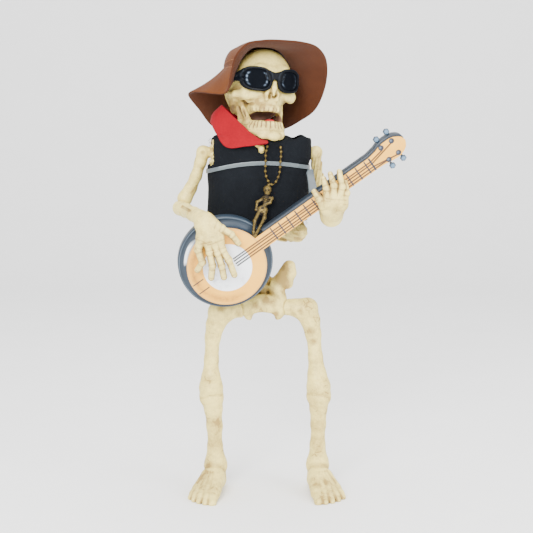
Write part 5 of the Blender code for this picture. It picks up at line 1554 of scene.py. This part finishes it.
def shell_finish(name, light, dark, painted_highlight):
    look = Finish(name, Specular_IOR_Level=0.45)
    soft = look.noise(35, 3, 0.6)
    rings = look.node("ShaderNodeCombineXYZ", None, {0: look.mark("out") * 1.3, 1: look.mark("deep") * 1.3, 2: soft * 5})
    streak = look.node("ShaderNodeTexNoise", None, {"Vector": rings, "Scale": 1.0, "Detail": 4.0, "Roughness": 0.65})
    share = look.held(streak * 0.75 + soft * 0.35, 0.38, 0.78)
    # Painted highlight: a pale line along the pot's rounded lip.
    rim = look.held(look.node("ShaderNodeMath", {"operation": "ABSOLUTE"}, {0: look.mark("out") - 39.9}), 0.35, 0.05)
    colour = look.mixed(rim * look.held(soft, 0.35, 0.6) * 0.8, look.mixed(share, dark, light), painted_highlight)
    # Painted reflection: a near-white crescent at the rim's inner edge, where the lamp shows in the gap.
    glint = look.node("ShaderNodeMath", {"operation": "ABSOLUTE"}, {0: look.mark("across") - 26.0})
    edge = look.node("ShaderNodeMath", {"operation": "ABSOLUTE"}, {0: look.mark("out") - 34.6})
    painted_reflection = look.held(glint, 7.5, 4.5) * look.held(edge, 1.5, 0.9) * look.held(look.mark("along"), 0.0, -1.0) * look.held(look.mark("deep"), -16.0, -15.0)
    colour = look.mixed(painted_reflection, colour, (0.75, 0.78, 0.80))
    look.relief(streak, 0.1)
    return look.wear(Base_Color=colour, Roughness=0.5 - share * 0.12)


# The third colour is that of the painted highlights.
BLUE_SHELL = shell_finish("blue plastic", (0.023, 0.041, 0.064), (0.009, 0.017, 0.028), (0.14, 0.19, 0.24))

# %% [markdown]
# ## What is printed on the face
#
# Strings, frets, the pale drum skin and the posts are printed on the real toy, and nothing of
# them can be felt with a finger, so they stay colour here. The board keeps its own t and s as
# marks. Each line is a rule on those two numbers: how far is this point from the line, and is it
# within the line's ends. Soft brown arcs round the drum beside the hand, and grey clouds on the
# left of the drum skin, are the hand's shadow, painted in.

# %% The printed face
FRETS = (49.0, 57.2, 65.6, 74.2, 83.1, 91.8, 100.8, 109.6, 118.5, 127.2, 136.3, 145.2)
STRINGS = ((-4.5, 7.5), (-2.2, 7.5), (0.5, 7.6), (2.6, 8.2))
STRING_SPREAD = ((-0.02, 163.8), (-0.16, 173.7), (0.235, 174.2), (0.20, 163.7))
POSTS = ((174.2, 7.2), (163.7, 7.4), (173.7, -4.7), (163.8, -5.0))


def printed_face():
    look = Finish("printed face", Roughness=0.42, Specular_IOR_Level=0.4, Coat_Weight=0.1)
    t, s = look.mark("along"), look.mark("across")
    size = lambda wire: look.node("ShaderNodeMath", {"operation": "ABSOLUTE"}, {0: wire})
    inside = lambda wire, edge, soft=0.22: look.held(wire, edge + soft, edge - soft)
    both = lambda one, two: one * two
    out = lambda x, y: look.node("ShaderNodeMath", {"operation": "SQRT"}, {0: (t - x) * (t - x) + (s - y) * (s - y)})
    cloud, fine = look.noise(16, 4, 0.6), look.noise(3, 3, 0.6)
    colour = look.mixed(look.held(cloud, 0.3, 0.75), (0.80, 0.38, 0.030), (0.86, 0.44, 0.045))
    # Painted shadow of the hand: brown arcs beside the hand and right of the thumb.
    shadow_ring = inside(size(out(0, 0) - 29.0), 1.5, 3.0)
    hand_shadow_arc = both(shadow_ring, inside(t * 1.0 + s * 0.15, -8.0, 5.0))
    thumb_shadow_arc = both(inside(out(-2.0, 24.0), 6.0, 5.0), look.held(fine + cloud, 0.6, 1.2))
    colour = look.mixed((hand_shadow_arc + thumb_shadow_arc) * look.held(cloud + fine * 0.6, 0.45, 1.05) * 1.15, colour, (0.20, 0.055, 0.006))
    colour = look.mixed(inside(size(out(0, 0) - 33.6), 0.5, 0.5) * 0.5, colour, (0.30, 0.20, 0.12))
    skin_white = inside(out(0, -1), 21.0)
    # Painted shadow of the hand: grey clouds over the left part of the white drum skin.
    shade = look.held(cloud * 0.8 + fine * 0.3, 0.55, 0.85)
    drum = look.mixed(shade * inside(t, 6.0, 6.0), (0.80, 0.83, 0.86), (0.26, 0.28, 0.32))
    colour = look.mixed(skin_white, colour, drum)
    ink = look.mixed(skin_white, (0.060, 0.022, 0.008), (0.008, 0.010, 0.016))
    for (spot, start), (spread, end) in zip(STRINGS, STRING_SPREAD):
        bend = look.node("ShaderNodeMath", {"operation": "MAXIMUM"}, {0: t - NUT_AT, 1: 0.0}) * spread
        near = inside(size(s - bend - spot), 0.66, 0.32)
        colour = look.mixed(near * inside(t, end) * look.held(t, start - 0.2, start + 0.2), colour, ink)
    steel = (0.012, 0.016, 0.028)
    for fret in FRETS:
        colour = look.mixed(both(inside(size(t - fret), 0.6, 0.3), inside(size(s), 6.1)), colour, steel)
    for spot in (3.3, -5.7):
        colour = look.mixed(both(inside(size(s - spot), 0.5, 0.3), inside(size(t + 27.75), 5.25)), colour, steel)
    for x, y in POSTS:
        colour = look.mixed(inside(out(x, y), 2.4), colour, steel)
        # Painted highlight: a small pale spot on each post.
        colour = look.mixed(inside(out(x - 0.4, y + 0.5), 0.9, 0.5) * 0.6, colour, (0.16, 0.20, 0.26))
    nut = both(inside(size(t - NUT_AT), 0.8), inside(size(s), 6.1))
    return look.wear(Base_Color=look.mixed(nut, colour, steel))


FACE_PRINT = printed_face()
half = NECK_WIDTH / 2
gap = math.asin(half / FACE_RADIUS)
disc = [(FACE_RADIUS * math.cos(a), FACE_RADIUS * math.sin(a)) for a in np.linspace(gap, 2 * math.pi - gap, 140)]
crown = [tuple(spot[:2]) for spot in rounded([(x, y, 0) for x, y in HEAD_OUTLINE], 60, False)]
top = [(NUT_AT, half), *crown, (NUT_AT, -half)]
pot = turned_pot("banjo_pot_shell", POT_PROFILE, POT_SIDES, BLUE_SHELL)
settle_in(pot, "blue_plastic", "banjo_pot")
face = board("banjo_face_board", disc + top[::-1], -FACE_THICK, 0.0, FACE_PRINT, 0.35)
settle_in(face, "printed_face", "banjo_face")
# The channel is the same blue plastic as the pot, painted darker: painted shade under the neck board.
CHANNEL_BLUE_IN_SHADE = shell_finish("channel plastic in painted shade", (0.022, 0.034, 0.050), (0.008, 0.013, 0.020), (0.05, 0.07, 0.09))
wide = [(x, y + (2.4 if y > 0 else 0)) for x, y in [(NECK_START, half), (NECK_START, -half), *top[::-1]]]
channel = board("banjo_neck_channel", wide, -FACE_THICK - 0.2 - NECK_DEPTH, -FACE_THICK - 0.2, CHANNEL_BLUE_IN_SHADE, 1.2)
settle_in(channel, "blue_plastic", "banjo_neck")


def knob(q, spot):
    x, y = spot
    inner = 10.2 if y > 0 else -8.2
    body = egg(q, (x, y, -4.5), (2.7, 2.7, 2.3))
    ridges = 0.14 * np.cos(6 * np.arctan2(q[:, 1] - y, q[:, 0] - x))
    body = blend(body + ridges, rod(q, (x, y, -4.5, 1), (x, inner, -4.5, 1)), 0.8)
    return np.maximum(body, 0.35 - slab(q, (150, -8.6, -11), (190, 9.8, 1)))


# Painted shade: each knob goes dark towards its rim, where its round sides turn away from the light.
KNOB_LOOK = Finish("knob blue", Roughness=0.35, Coat_Weight=0.2)
KNOB_LOOK.wear(Base_Color=KNOB_LOOK.mixed(KNOB_LOOK.held(KNOB_LOOK.mark("paint"), 0.5, 1.0), (0.085, 0.165, 0.26), (0.012, 0.02, 0.032)))
for number, spot in enumerate(PEGS, 1):
    x, y = spot
    rim = lambda q: np.hypot(q[:, 0] - x, q[:, 1] - y) / 2.7
    moulded(f"banjo_knob_{number}", lambda q: knob(q, spot), (x - 5, y - 6, -9), (x + 5, y + 6, 0), 0.4,
            KNOB_LOOK.material, "knob_blue", [f"tuning_peg_{number}"], from_banjo, rim)

# %% [markdown]
# ## Camera, floor and light
#
# The photograph was taken from about 1.15 m in front of the figure and a little above its head,
# with a long lens, so the camera stands there and looks down by eight degrees. The floor is plain
# and pale, and two large soft lights and a bright surround keep shadows weak, as in a studio.

# %% Camera, floor and lights
CAMERA_BACK, CAMERA_HIGH, CAMERA_DOWN, CAMERA_ZOOM = 1150.0, 360.0, 7.68, 1308.0 / 533.0
lens = bpy.data.cameras.new("camera")
lens.sensor_width = 36.0
lens.lens = lens.sensor_width * CAMERA_ZOOM
lens.clip_start, lens.clip_end = 0.05, 20.0
camera = bpy.data.objects.new("camera", lens)
camera.location = (np.array((0.0, -CAMERA_BACK, CAMERA_HIGH)) + FIGURE_SHIFT) * MM
camera.rotation_euler = (math.radians(90 - CAMERA_DOWN), 0, 0)
bpy.context.collection.objects.link(camera)
bpy.context.scene.camera = camera


def lamp(name, place, aim, wide, power):
    data = bpy.data.lights.new(name, "AREA")
    data.shape, data.size, data.energy = "DISK", wide, power
    thing = bpy.data.objects.new(name, data)
    thing.location = place
    thing.rotation_euler = (Vector(aim) - Vector(place)).to_track_quat("-Z", "Y").to_euler()
    bpy.context.collection.objects.link(thing)


MIDDLE = (0, 0, 0.22)
lamp("front light", (-0.35, -1.6, 0.95), MIDDLE, 1.0, 66)
lamp("side light", (1.2, -0.9, 0.7), MIDDLE, 1.0, 22)
lamp("top light", (0, 0.1, 1.6), MIDDLE, 1.4, 27)
world = bpy.data.worlds.new("studio")
world.use_nodes = True
world.node_tree.nodes["Background"].inputs["Color"].default_value = (1, 1, 1, 1)
world.node_tree.nodes["Background"].inputs["Strength"].default_value = 1.32
bpy.context.scene.world = world

floor_look = Finish("pale floor", Roughness=0.9)
dust = floor_look.noise(60, 3)
floor_look.wear(Base_Color=floor_look.mixed(dust, (0.86, 0.86, 0.86), (0.9, 0.9, 0.9)))
floor_mesh = bpy.data.meshes.new("floor")
run, rise, bend = 3.0, 2.2, 0.6
profile = [(-run, 0.0)] + [(1.2 + bend * math.sin(a), bend - bend * math.cos(a)) for a in np.linspace(0, math.pi / 2, 12)]
profile.append((1.2 + bend, rise))
points = [(side * 4.0, y, z) for side in (-1, 1) for y, z in profile]
count = len(profile)
floor_mesh.from_pydata(points, [], [(i, count + i, count + i + 1, i + 1) for i in range(count - 1)])
floor_mesh.materials.append(floor_look.material)
floor_mesh.shade_smooth()
floor = bpy.data.objects.new("floor", floor_mesh)
bpy.context.collection.objects.link(floor)
print("camera at", [round(v, 3) for v in camera.location], "with a lens of", round(lens.lens, 1), "mm")
